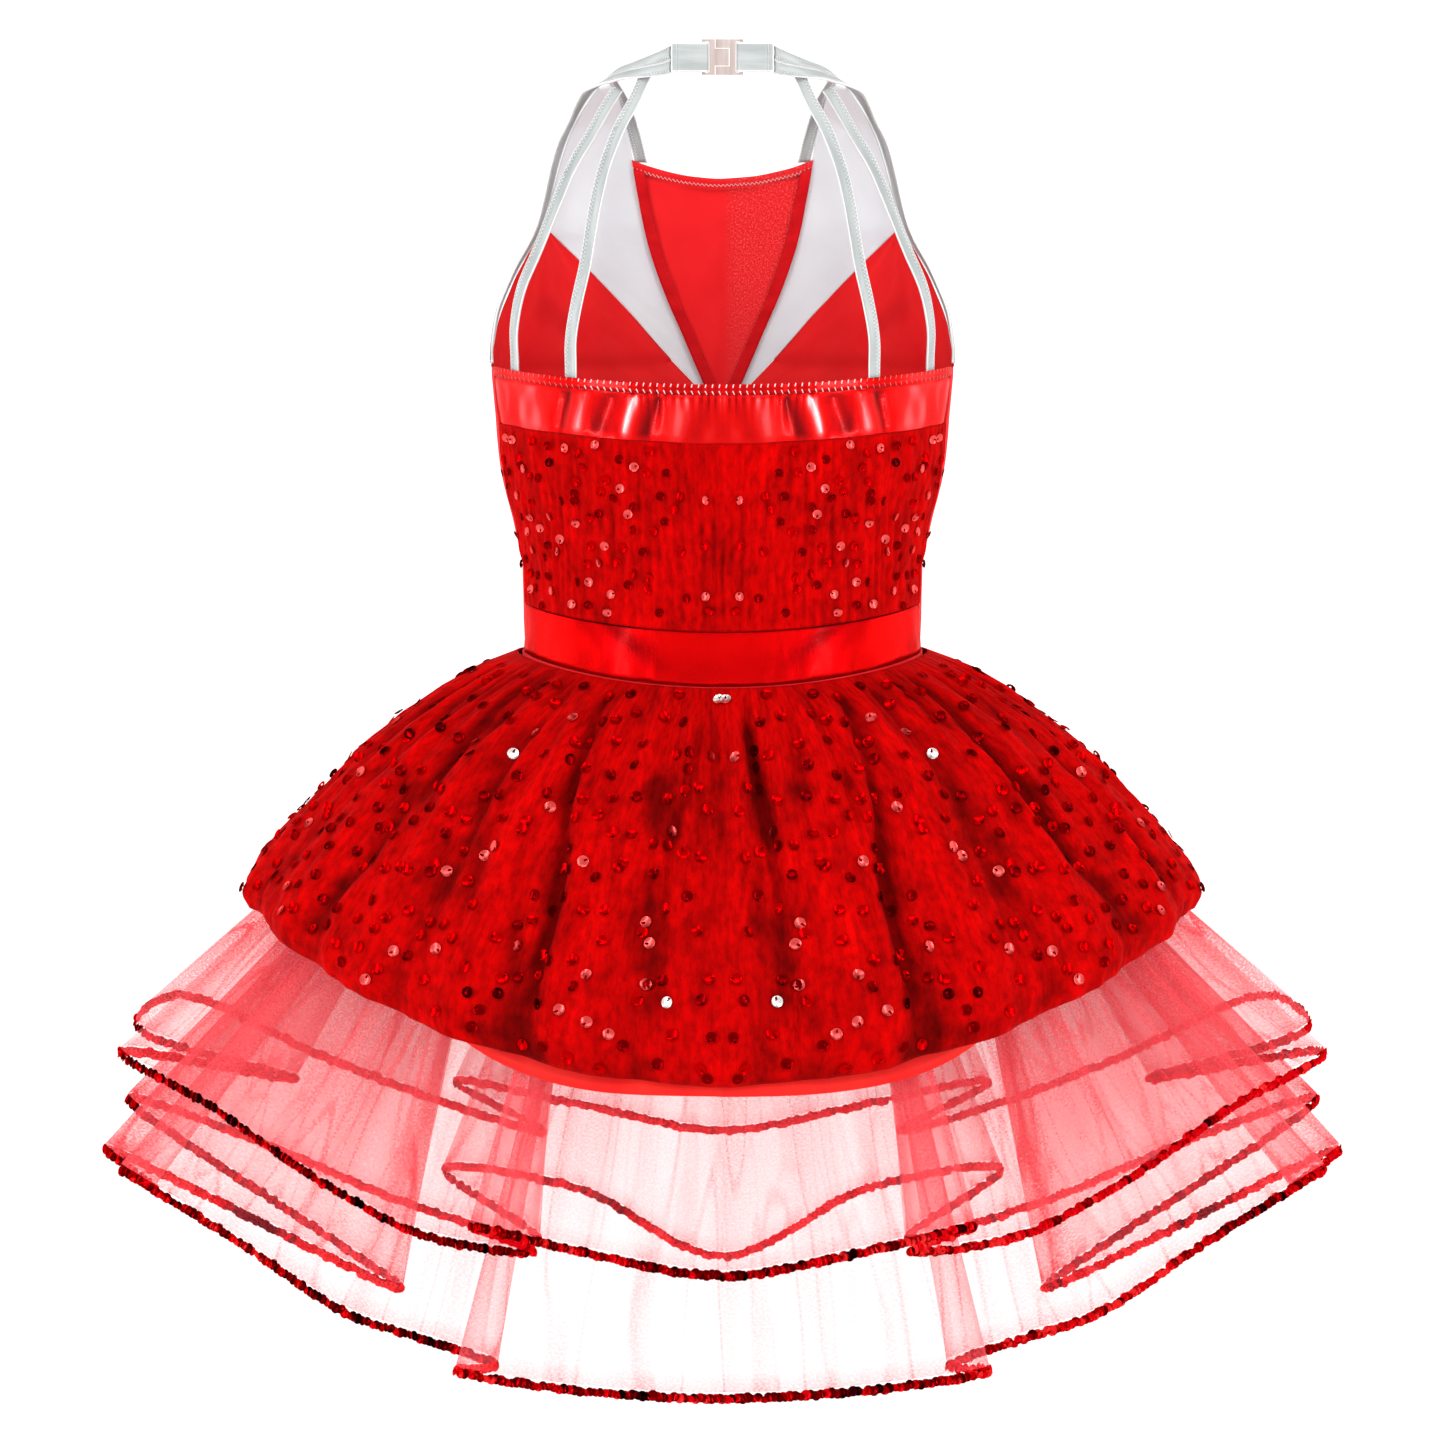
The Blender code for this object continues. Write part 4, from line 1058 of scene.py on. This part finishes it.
def make_inset():
    """The red inset behind the V, with a sewn hem along its top and its seam allowances."""
    grid = refine(inset_rows(), 8, 8)
    u, v = spans(grid)
    relief = layered(u, v, (0.3, 9.0, 30.0, 61), (0.12, 3.0, 6.0, 62)) - 0.35 * hump(v, FLAP_WIDTH, 0.8)
    inset = pushed(grid, relief)
    # Painted shade: a dark line along the hem's groove, and the hem band a little darker.
    painted_shading = 1.0 - 0.75 * hump(v, FLAP_WIDTH, 0.6) - 0.12 * (v < FLAP_WIDTH)
    cloth("inset_foil", inset, "reverse", "red_foil", ["front_inset"], "stretched", painted_shading=painted_shading)
    make_inset_flaps(inset)
    level = FLAP_WIDTH / float(v[-1].mean())
    line = zigzag(inset.transpose(1, 0, 2)[::-1], level - 0.008, level + 0.008, 2.2, -1.0)
    threads("inset_stitches", [line], 0.18, "pale_thread", "red_foil")


def make_inset_flaps(inset):
    """The seam allowances that lie along the inset's sides, on the wearer's side of it."""
    normal = normals_of(inset)
    u, v = spans(inset)
    for hand, sign in (("right", 1), ("left", -1)):
        rows = []
        for r in range(2, inset.shape[0] - 3):
            reach = u[r, -1]
            wide = min(FLAP_WIDTH, 0.8 * reach)
            row = []
            for share in np.linspace(0.0, 1.0, 6):
                at = -(reach - 0.3 - wide * share) * sign
                point, away = (np.array([np.interp(at, u[r], field[r, :, k]) for k in range(3)])
                               for field in (inset, normal))
                row.append(point - away * (1.15 + 0.5 * share ** 2 + 0.25 * share * math.sin(0.21 * v[r, 0])))
            rows.append(row if sign > 0 else row[::-1])
        cloth(f"inset_flap_{hand}", rows, "flap", "red_foil", (), None, thick=0.5)


def crowned(rows, crown, down, *layer):
    """A ribbon through rows of two points, with a rounded top and a layer of waves."""
    rows = np.array(rows, float)
    share = np.linspace(0.0, 1.0, 7)
    grid = refine(rows[:, :1] + (rows[:, 1:] - rows[:, :1]) * share[None, :, None], down, 1)
    return pushed(grid, crown * (1 - (2 * share[None, :] - 1) ** 2) + layered(*spans(grid), layer))


def make_trim():
    """Ribbons of the bindings and back straps, with zigzag sewing on their edges."""
    sewn = []
    for name, rows in zip(("armhole_binding", "neck_binding"), binding_rows()):
        grid = crowned(rows, 0.5, 6, 0.1, 3.0, 5.0, 71)
        both_sides(name[:-8] + "_ribbon", grid, "ribbon", "silver_strap", name, None, side=1.0,
                   thick=RIBBON_WALL)
        for low, high in ((0.08, 0.3), (0.9, 0.97)):
            for lift in (-0.05, 0.05 + RIBBON_WALL):
                sewn.append(zigzag(grid, low, high, 1.7, lift))
    for name, route in (("back_strap_inner", INNER_STRAP), ("back_strap_outer", OUTER_STRAP)):
        grid = crowned(strap_rows(route), 0.45, 1, 0.12, 3.0, 6.0, 73)
        both_sides(name[5:] + "_ribbon", grid, "ribbon", "silver_strap", name, None, thick=RIBBON_WALL)
        sewn.append(zigzag(grid, 0.62, 0.9, 2.0, 0.1))
    mirrored = [line * (-1.0, 1.0, 1.0) for line in sewn]
    threads("ribbon_stitches", sewn + mirrored, 0.24, "white_thread", "silver_strap")


def make_clasp():
    for node in ("clasp_tongue", "clasp_socket"):
        obj = linked(node + "_clear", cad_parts[node].data.copy())
        obj.data.materials.clear()
        obj.data.materials.append(LOOKS["plastic"])
        bevel = obj.modifiers.new("soft_edges", "BEVEL")
        bevel.width = 0.25 * MM
        bevel.segments = 2
        ride(obj, "clear_plastic", node)


def make_loops():
    """The halter's ends, folded through the clasp and stitched to themselves."""
    middle = -CLASP_THICK / 2
    outer = LOOP_INNER + LOOP_WALL
    bend_at = CLASP_HALF_WIDTH - CLASP_BAR + LOOP_INNER - CLASP_SLOT / 2 + 0.05
    bends = np.linspace(-math.pi / 2, math.pi / 2, 9)
    near = [(LOOP_REACH - 1.5 * k, middle - outer) for k in range(9)]
    far = [(x, middle + outer) for x, _ in reversed(near)]
    ring = near + [(bend_at - outer * math.cos(a), middle + outer * math.sin(a)) for a in bends] + far
    heights = np.linspace(LOOP_HEIGHT / 2, -LOOP_HEIGHT / 2, 11)
    grid = refine([[(x, y, z - LIFT[2]) for z in heights] for x, y in ring], 3, 1)
    u, v = spans(grid)
    puff = limited((grid[..., 0] - bend_at) / 5.0) * limited((LOOP_REACH - grid[..., 0]) / 4.0)
    relief = puff * (0.5 * np.cos(math.pi * u / LOOP_HEIGHT) + 0.25 * waves(u, v, 2.0, 4.0, 81))
    relief -= 0.5 * hump(grid[..., 0], LOOP_STITCHES, 0.6)
    both_sides("halter_fold", pushed(grid, relief), "fold", "silver_strap", "halter_loop", "folded")
    lines = [np.array([(side * LOOP_STITCHES, depth, z) for z in np.linspace(-6.9, 6.9, 24)]) - LIFT
             for side in (1.0, -1.0) for depth in (middle - outer - 0.15, middle + outer + 0.15)]
    threads("loop_stitches", lines, 0.16, "white_thread", "silver_strap")


def make_briefs():
    for name, table, seam, front, seed in (("briefs_back", SEAT, WAIST_BACK, False, 91),
                                           ("briefs_front", TUMMY, WAIST_FRONT, True, 92)):
        grid = refine(body_rows(table, seam, front, 16), 6, 5)
        u, v = spans(grid)
        edge = limited(v / 8.0)
        relief = layered(u, v, (0.3, 12.0, 20.0, seed), (0.12, 4.0, 8.0, seed + 5)) * edge
        rim = np.minimum(u - u[:, :1], u[:, -1:] - u)
        relief += 0.5 * hump(rim, 3.5, 2.5) * (v > 95.0)
        trough = troughs(grid, SEAT_FOLDS) * edge
        # The troughs are pressed in and also painted darker, as painted shade.
        cloth(name + "_knit", pushed(grid, relief - trough), "knit", "red_lycra", [name], "stretched",
              painted_shading=0.3 * trough)


def over_grid(start):
    """Half of the overskirt's surface from a start angle on, and its shade, with its gathers, waves
    and long valleys."""
    angle = np.linspace(start, start + math.pi, 441)[None, :]
    angle = angle + np.where(angle == start, SEAM / OVER_WAIST[0], 0.0)
    down = np.linspace(0.0, 1.0, 86)[:, None] ** 1.15
    table = smooth_path([(p[1], p[0], p[2], p[3]) for p in OVER_PROFILE], 10, 2)
    out, gather, wave = (np.interp(down, table[:, 0], table[:, k]) for k in (1, 2, 3))
    turn = np.abs(np.arctan2(np.sin(angle), np.cos(angle)))
    degrees = np.degrees(turn)
    width, depth = (waist + (hem - waist) * out for waist, hem in zip(OVER_WAIST, OVER_HEM))
    reach = np.hypot(width * np.cos(turn), depth * np.sin(turn))
    length = 190.0 * down

    def soft(across, below, seed, count=14):
        return waves(degrees, length, across, below, seed, count)

    uneven = soft(5.0, 160.0, 101)
    crinkle = soft(1.7, 7.0, 106, 20)
    rise = limited(down / 0.06)
    turns = GATHERS * angle + 0.9 * uneven
    ripple = gather * np.sin(turns) * (0.85 + 0.35 * soft(7.0, 60.0, 102))
    ripple = ripple + wave * np.cos(GATHERS / 2 * angle + 0.5 * uneven) * (0.8 + 0.3 * soft(9.0, 70.0, 103))
    ripple += rise * np.exp(-down / 0.35) * 0.9 * np.sin(96 * angle + 2.2 * soft(4.0, 60.0, 104))
    ripple += rise * (0.7 * soft(1.1, 22.0, 105) + 0.75 * crinkle)
    plain = gather * 0.35 * np.sin(turns) + 0.12 * wave * np.cos(GATHERS / 2 * angle)
    # Painted shading: the gathers' ridges lighter and their hollows darker, with random tone and crinkle.
    painted_shading = 0.60 + 0.30 * (ripple - plain) / 3.0 + 0.09 * soft(9.0, 20.0, 107) + 0.09 * crinkle
    for waist, hem, first, last, deep, half in VALLEYS:
        place = waist + (hem - waist) * np.sqrt(down) + 0.8 * np.sin(9.0 * down + waist)
        gap = np.radians(degrees - place) * reach
        keep = limited((down - first) / 0.12 + 0.2) * limited((last - down) / 0.25) * rise * deep
        ripple += keep * (0.45 * hump(np.abs(gap), 2.0 * half, half) - hump(gap, 0.0, half))
        # Painted shade along each valley.
        painted_shading -= keep * 0.10 * hump(gap, 0.0, half)
    ripple -= HEM_ROLL * limited((down - 0.9) / 0.1) ** 2
    cosine = np.cos(angle)
    seam = [seam_height(waist, np.abs(cosine)) for waist in (WAIST_BACK, WAIST_FRONT)]
    top = np.where(cosine > 0, *seam) - SEAM
    foot = hem_height(OVER_HEM_SIDE, OVER_HEM_DROP, cosine)
    grid = np.stack(((width + ripple) * np.sin(angle), AXIS - (depth + ripple) * cosine,
                     top + (foot - top) * down), -1)
    return grid, painted_shading


def make_overskirt(part, start):
    grid, painted_shading = over_grid(start)
    cloth(f"overskirt_{part}_velvet", grid, "velvet", "sequin_velvet", [f"overskirt_{part}"], "gathered",
          painted_shading=painted_shading)
    return grid


def make_lining():
    angle = np.linspace(0.0, 2 * math.pi, 361)[:-1]
    cosine = np.cos(angle)
    table = smooth_path([(p[1], p[0], 0.0) for p in UNDER_PROFILE], 10, 2)
    top = hem_height(*UNDER_TOP, cosine)
    foot = UNDER_HEM_SIDE - UNDER_HEM_DROP * np.sin(math.pi / 2 * cosine * cosine)
    rows = []
    for down in np.linspace(0.0, 1.0, 40):
        out = float(np.interp(down, table[:, 0], table[:, 1]))
        ripple = down * (0.9 * waves(np.degrees(angle), 0.0, 7.0, 1.0, 111) - 0.9)
        width, depth = (waist + (hem - waist) * out + ripple for waist, hem in zip(UNDER_WAIST, UNDER_HEM))
        rows.append(np.stack((width * np.sin(angle), AXIS - depth * cosine, top + (foot - top) * down), -1))
    cloth("lining_satin", rows, "lining", "red_lining", ["skirt_lining"], "hung", closed=True)


def sequin_spots(grid, keep, draw, pitch):
    """Row, column, kind, tilt and spin of the sequins on a cloth's right half, on a loose lattice."""
    u, v = spans(grid)
    middle = grid.shape[1] // 2
    spots = []
    for row in range(int(v[-1].max() / pitch) + 1):
        for column in range(int(u.max() / pitch) + 2):
            across = (column + 0.5 + 0.5 * (row % 2)) * pitch + draw.normal() * 0.27 * pitch
            low = (row + 0.5) * pitch + draw.normal() * 0.27 * pitch
            r = int(np.argmin(np.abs(v[:, middle] - low)))
            c = int(np.argmin(np.abs(u[r] - across)))
            outside = across > u[r, -1] - 2.0 or low > v[-1, c] - 1.5 or low < 2.5
            if not outside and draw.uniform() < keep(across):
                turns = draw.uniform(0, 1), draw.uniform(-0.35, 0.35), draw.uniform(0, 2 * math.pi)
                spots.append((r, c, *turns))
    return spots


def sewn_sequins(name, grid, keep, seed, pink, dense=1.0, radius=2.9, glints=()):
    """Sequins on a cloth's right half and mirrored, as they are in the photograph. keep gives the
    share kept at a distance from the middle, and pink is the share of pink ones, which are painted
    highlights."""
    spots = sequin_spots(grid, keep, np.random.default_rng(seed), SEQUIN_PITCH * dense)
    normal = normals_of(grid)
    middle = grid.shape[1] // 2
    right = grid[:, middle:]
    for across, height in glints:
        near = int(np.argmin((np.abs(right[..., 0]) - across) ** 2 + (right[..., 2] - height) ** 2))
        r, c = divmod(near, right.shape[1])
        spots = [s for s in spots if np.linalg.norm(grid[s[0], s[1]] - right[r, c]) > 6.5]
        spots.append((r, c + middle, GLINT_KIND, 0.1, 0.3))
    # Painted reflections: near-black and deep red sequins stand for dark reflections, pink ones are painted
    # highlights and white ones painted glints; the mid red is their own colour.
    steps = ((0.04, (0.05, 0.0, 0.001)), (0.34, (0.20, 0.0, 0.001)), (1.0 - pink, (0.52, 0.0, 0.001)),
             (1.0, (0.86, 0.085, 0.08)), (math.inf, (1.0, 0.90, 0.86)))
    sewn = []
    for r, c, kind, tilt, spin in spots:
        for column, side in ((c, 1.0), (grid.shape[1] - 1 - c, -1.0)):
            place = grid[r, column] + normal[r, column] * 0.7
            sewn.append((*place, *normal[r, column], *shade_of(kind, steps), tilt, spin * side))
    sewn = np.array(sewn)
    count = len(sewn)
    frames = frames_for(sewn[:, 3:6], np.tile((0.0, 0.0, 1.0), (count, 1)), sewn[:, 9], sewn[:, 10])
    scattered(name, sequin_form(12), sewn[:, :3], frames, np.full(count, radius), sewn[:, 6:9],
              "sequin_velvet")


def net_cover(ends, level, across, v, seed):
    """How much of each part of a net its threads cover: more at its top, its sides and its folds."""
    aside = limited(np.abs(ends[None, :, 0]) / 230.0) ** 1.3
    layers = (1.0 + 3.4 * (1.0 - level) ** 1.2) * (1.0 + 1.1 * aside)
    streak = np.clip(waves(across, v, 3.2, 260.0, seed + 11), -0.6, 2.4)
    patch = waves(across, v, 26.0, 55.0, seed + 13)
    heading = np.unwrap(np.arctan2(*np.gradient(ends[:, :2], axis=0).T))
    bend = np.convolve(np.abs(np.gradient(heading)), np.ones(5) / 5, "same")
    fold = limited(bend[None, :] / 0.12) ** 2
    layers = layers * (1.0 + 0.4 * streak * (1.1 - 0.4 * level) + 0.22 * patch + 1.6 * fold)
    cover = 1.0 - (1.0 - NET_COVER) ** layers
    return np.clip(cover + 0.2 * hump(60.0 * level, 60.0, 1.0), 0.03, 0.9)


def make_braid(tier, part, ends, seed):
    """A row of overlapping sequins along a net's hem."""
    draw = np.random.default_rng(seed + 31)
    path = even(ends, BRAID_PITCH)[1:-1]
    count = len(path)
    ahead = np.gradient(path, axis=0)
    ahead /= np.linalg.norm(ahead, axis=-1, keepdims=True)
    out = np.cross(np.tile((0.0, 0.0, -1.0), (count, 1)), ahead)
    swing = 0.32 + 0.12 * draw.normal(size=count)
    frames = frames_for(out, np.cross(out, ahead), 0.25 * draw.normal(size=count), np.zeros(count))
    c, s = np.cos(swing)[:, None], np.sin(swing)[:, None]
    first = frames[..., 0] * c + frames[..., 2] * s
    third = frames[..., 2] * c - frames[..., 0] * s
    frames = np.stack((first, frames[..., 1], third), -1)
    drift = waves(np.arange(count) * 1.0, 0.0, 6.0, 1.0, seed + 3)
    # Painted reflections: darker and lighter stretches of sequins along the braid, from a drift and random
    # draws.
    steps = ((-1.7, (0.03, 0.0, 0.002)), (-1.0, (0.32, 0.0, 0.002)), (0.8, (0.72, 0.002, 0.005)),
             (math.inf, (0.95, 0.02, 0.022)))
    shades = np.array([shade_of(drift[k] + 0.7 * draw.normal(), steps) for k in range(count)])
    middle = path + draw.normal(size=(count, 1)) * 0.3 * np.array((0.0, 0.0, 1.0))
    sizes = np.full(count, BRAID_SEQUIN) * draw.uniform(0.88, 1.08, count)
    scattered(f"{tier}_{part}_sequins", sequin_form(10, 0.18, 0.0, 0.3), middle, frames, sizes, shades,
              "sequin_braid", [f"{tier}_braid_{part}"])


def make_nets(tier, waist, folds, valley, seed):
    """One tier of net, back and front, each with the braid on its hem."""
    for part, (tops, ends) in zip(("back", "front"), net_columns(waist, folds, valley, 22)):
        seed += 1
        level = np.linspace(0.0, 1.0, 34)[:, None]
        grid = tops[None] + (ends + (0.0, 0.0, BRAID_HEIGHT / 2) - tops)[None] * level[..., None]
        v = spans(grid)[1]
        across = np.arange(grid.shape[1])[None, :] * 2.2
        soft = np.sin(math.pi * level) ** 0.7
        net = pushed(grid, soft * layered(across, v, (1.1, 5.0, 90.0, seed), (0.5, 2.0, 60.0, seed + 7)))
        cloth(f"{tier}_{part}_tulle", net, "net", "red_net", [f"{tier}_{part}"], "gathered", thick=0,
              cover=net_cover(ends, level, across, v, seed))
        make_braid(tier, part, ends, seed)


# Stage, light and camera


def make_stage():
    """A seamless pale floor that curves up into a backdrop all round the leotard."""
    bends = np.linspace(0.0, math.pi / 2, 10)
    curve = [(2.6 + 1.2 * math.sin(a), FLOOR + 1.2 * (1 - math.cos(a))) for a in bends]
    profile = [(0.02, FLOOR), *curve, (3.8, 4.2)]
    sides = 48
    turns = [2 * math.pi * k / sides for k in range(sides)]
    points = [(radius * math.cos(turn), radius * math.sin(turn), height)
              for radius, height in profile for turn in turns]
    mesh = bpy.data.meshes.new("studio_floor")
    mesh.from_pydata(points, [], ring_faces(len(profile), sides) + [tuple(range(sides))[::-1]])
    mesh.shade_smooth()
    mesh.materials.append(LOOKS["floor"])
    linked("studio_floor", mesh)


def area_light(name, place, target, size, power):
    light = bpy.data.lights.new(name, "AREA")
    light.shape = "RECTANGLE"
    light.size, light.size_y = size
    light.energy = power
    obj = linked(name, light)
    obj.location = place
    obj.rotation_euler = (Vector(target) - Vector(place)).to_track_quat("-Z", "Y").to_euler()


def make_light():
    world = bpy.data.worlds.new("studio")
    world.use_nodes = True
    background = world.node_tree.nodes["Background"]
    background.inputs["Color"].default_value = (1.0, 1.0, 1.0, 1.0)
    background.inputs["Strength"].default_value = 0.25
    scene = bpy.context.scene
    scene.world = world
    for hand, sign in (("left", -1.0), ("right", 1.0)):
        for name, place, target, size, power in SIDE_LIGHTS:
            place, target = ((sign * x, y, z) for x, y, z in (place, target))
            area_light(f"{name}_{hand}", place, target, size, power)
    for name, place, target, size, power in MIDDLE_LIGHTS:
        area_light(name, place, target, size, power)
    scene.view_settings.view_transform = "Standard"
    scene.cycles.transparent_max_bounces = 16
    scene.cycles.max_bounces = 2
    scene.cycles.diffuse_bounces = 2
    scene.cycles.glossy_bounces = 2
    scene.cycles.transmission_bounces = 3
    scene.cycles.light_sampling_threshold = 0.08
    scene.cycles.caustics_reflective = False
    scene.cycles.caustics_refractive = False


def make_camera():
    target = Vector(CAMERA_TARGET)
    rise = math.radians(CAMERA_RISE)
    camera = bpy.data.cameras.new("photo_camera")
    camera.sensor_width = SENSOR
    camera.lens = SENSOR * CAMERA_DISTANCE / (PHOTO_PIXELS * MM_A_PIXEL * MM)
    obj = linked("photo_camera", camera)
    obj.location = target + CAMERA_DISTANCE * Vector((0.0, -math.cos(rise), math.sin(rise)))
    obj.rotation_euler = (target - obj.location).to_track_quat("-Z", "Y").to_euler()
    bpy.context.scene.camera = obj


make_looks()
make_camera()
make_stage()
make_light()
make_yoke()
band = make_band()
make_waist()
make_front()
make_lapels()
make_inset()
make_trim()
make_clasp()
make_loops()
make_briefs()
skirt_back = make_overskirt("back", -math.pi / 2)
skirt_front = make_overskirt("front", math.pi / 2)
make_lining()
make_nets("short_net", SHORT_NET_WAIST, SHORT_NET_FOLDS, SHORT_NET_VALLEY, 201)
make_nets("long_net", LONG_NET_WAIST, LONG_NET_FOLDS, LONG_NET_VALLEY, 231)
sewn_sequins("band_sequins", band, lambda across: 0.45 + 0.5 * abs(across) / 110.0, 301, 0.35, 0.68, 2.3)
sewn_sequins("overskirt_back_sequins", skirt_back, lambda across: 0.92, 302, 0.1, glints=GLINTS)
sewn_sequins("overskirt_front_sequins", skirt_front, lambda across: 0.92, 303, 0.1)
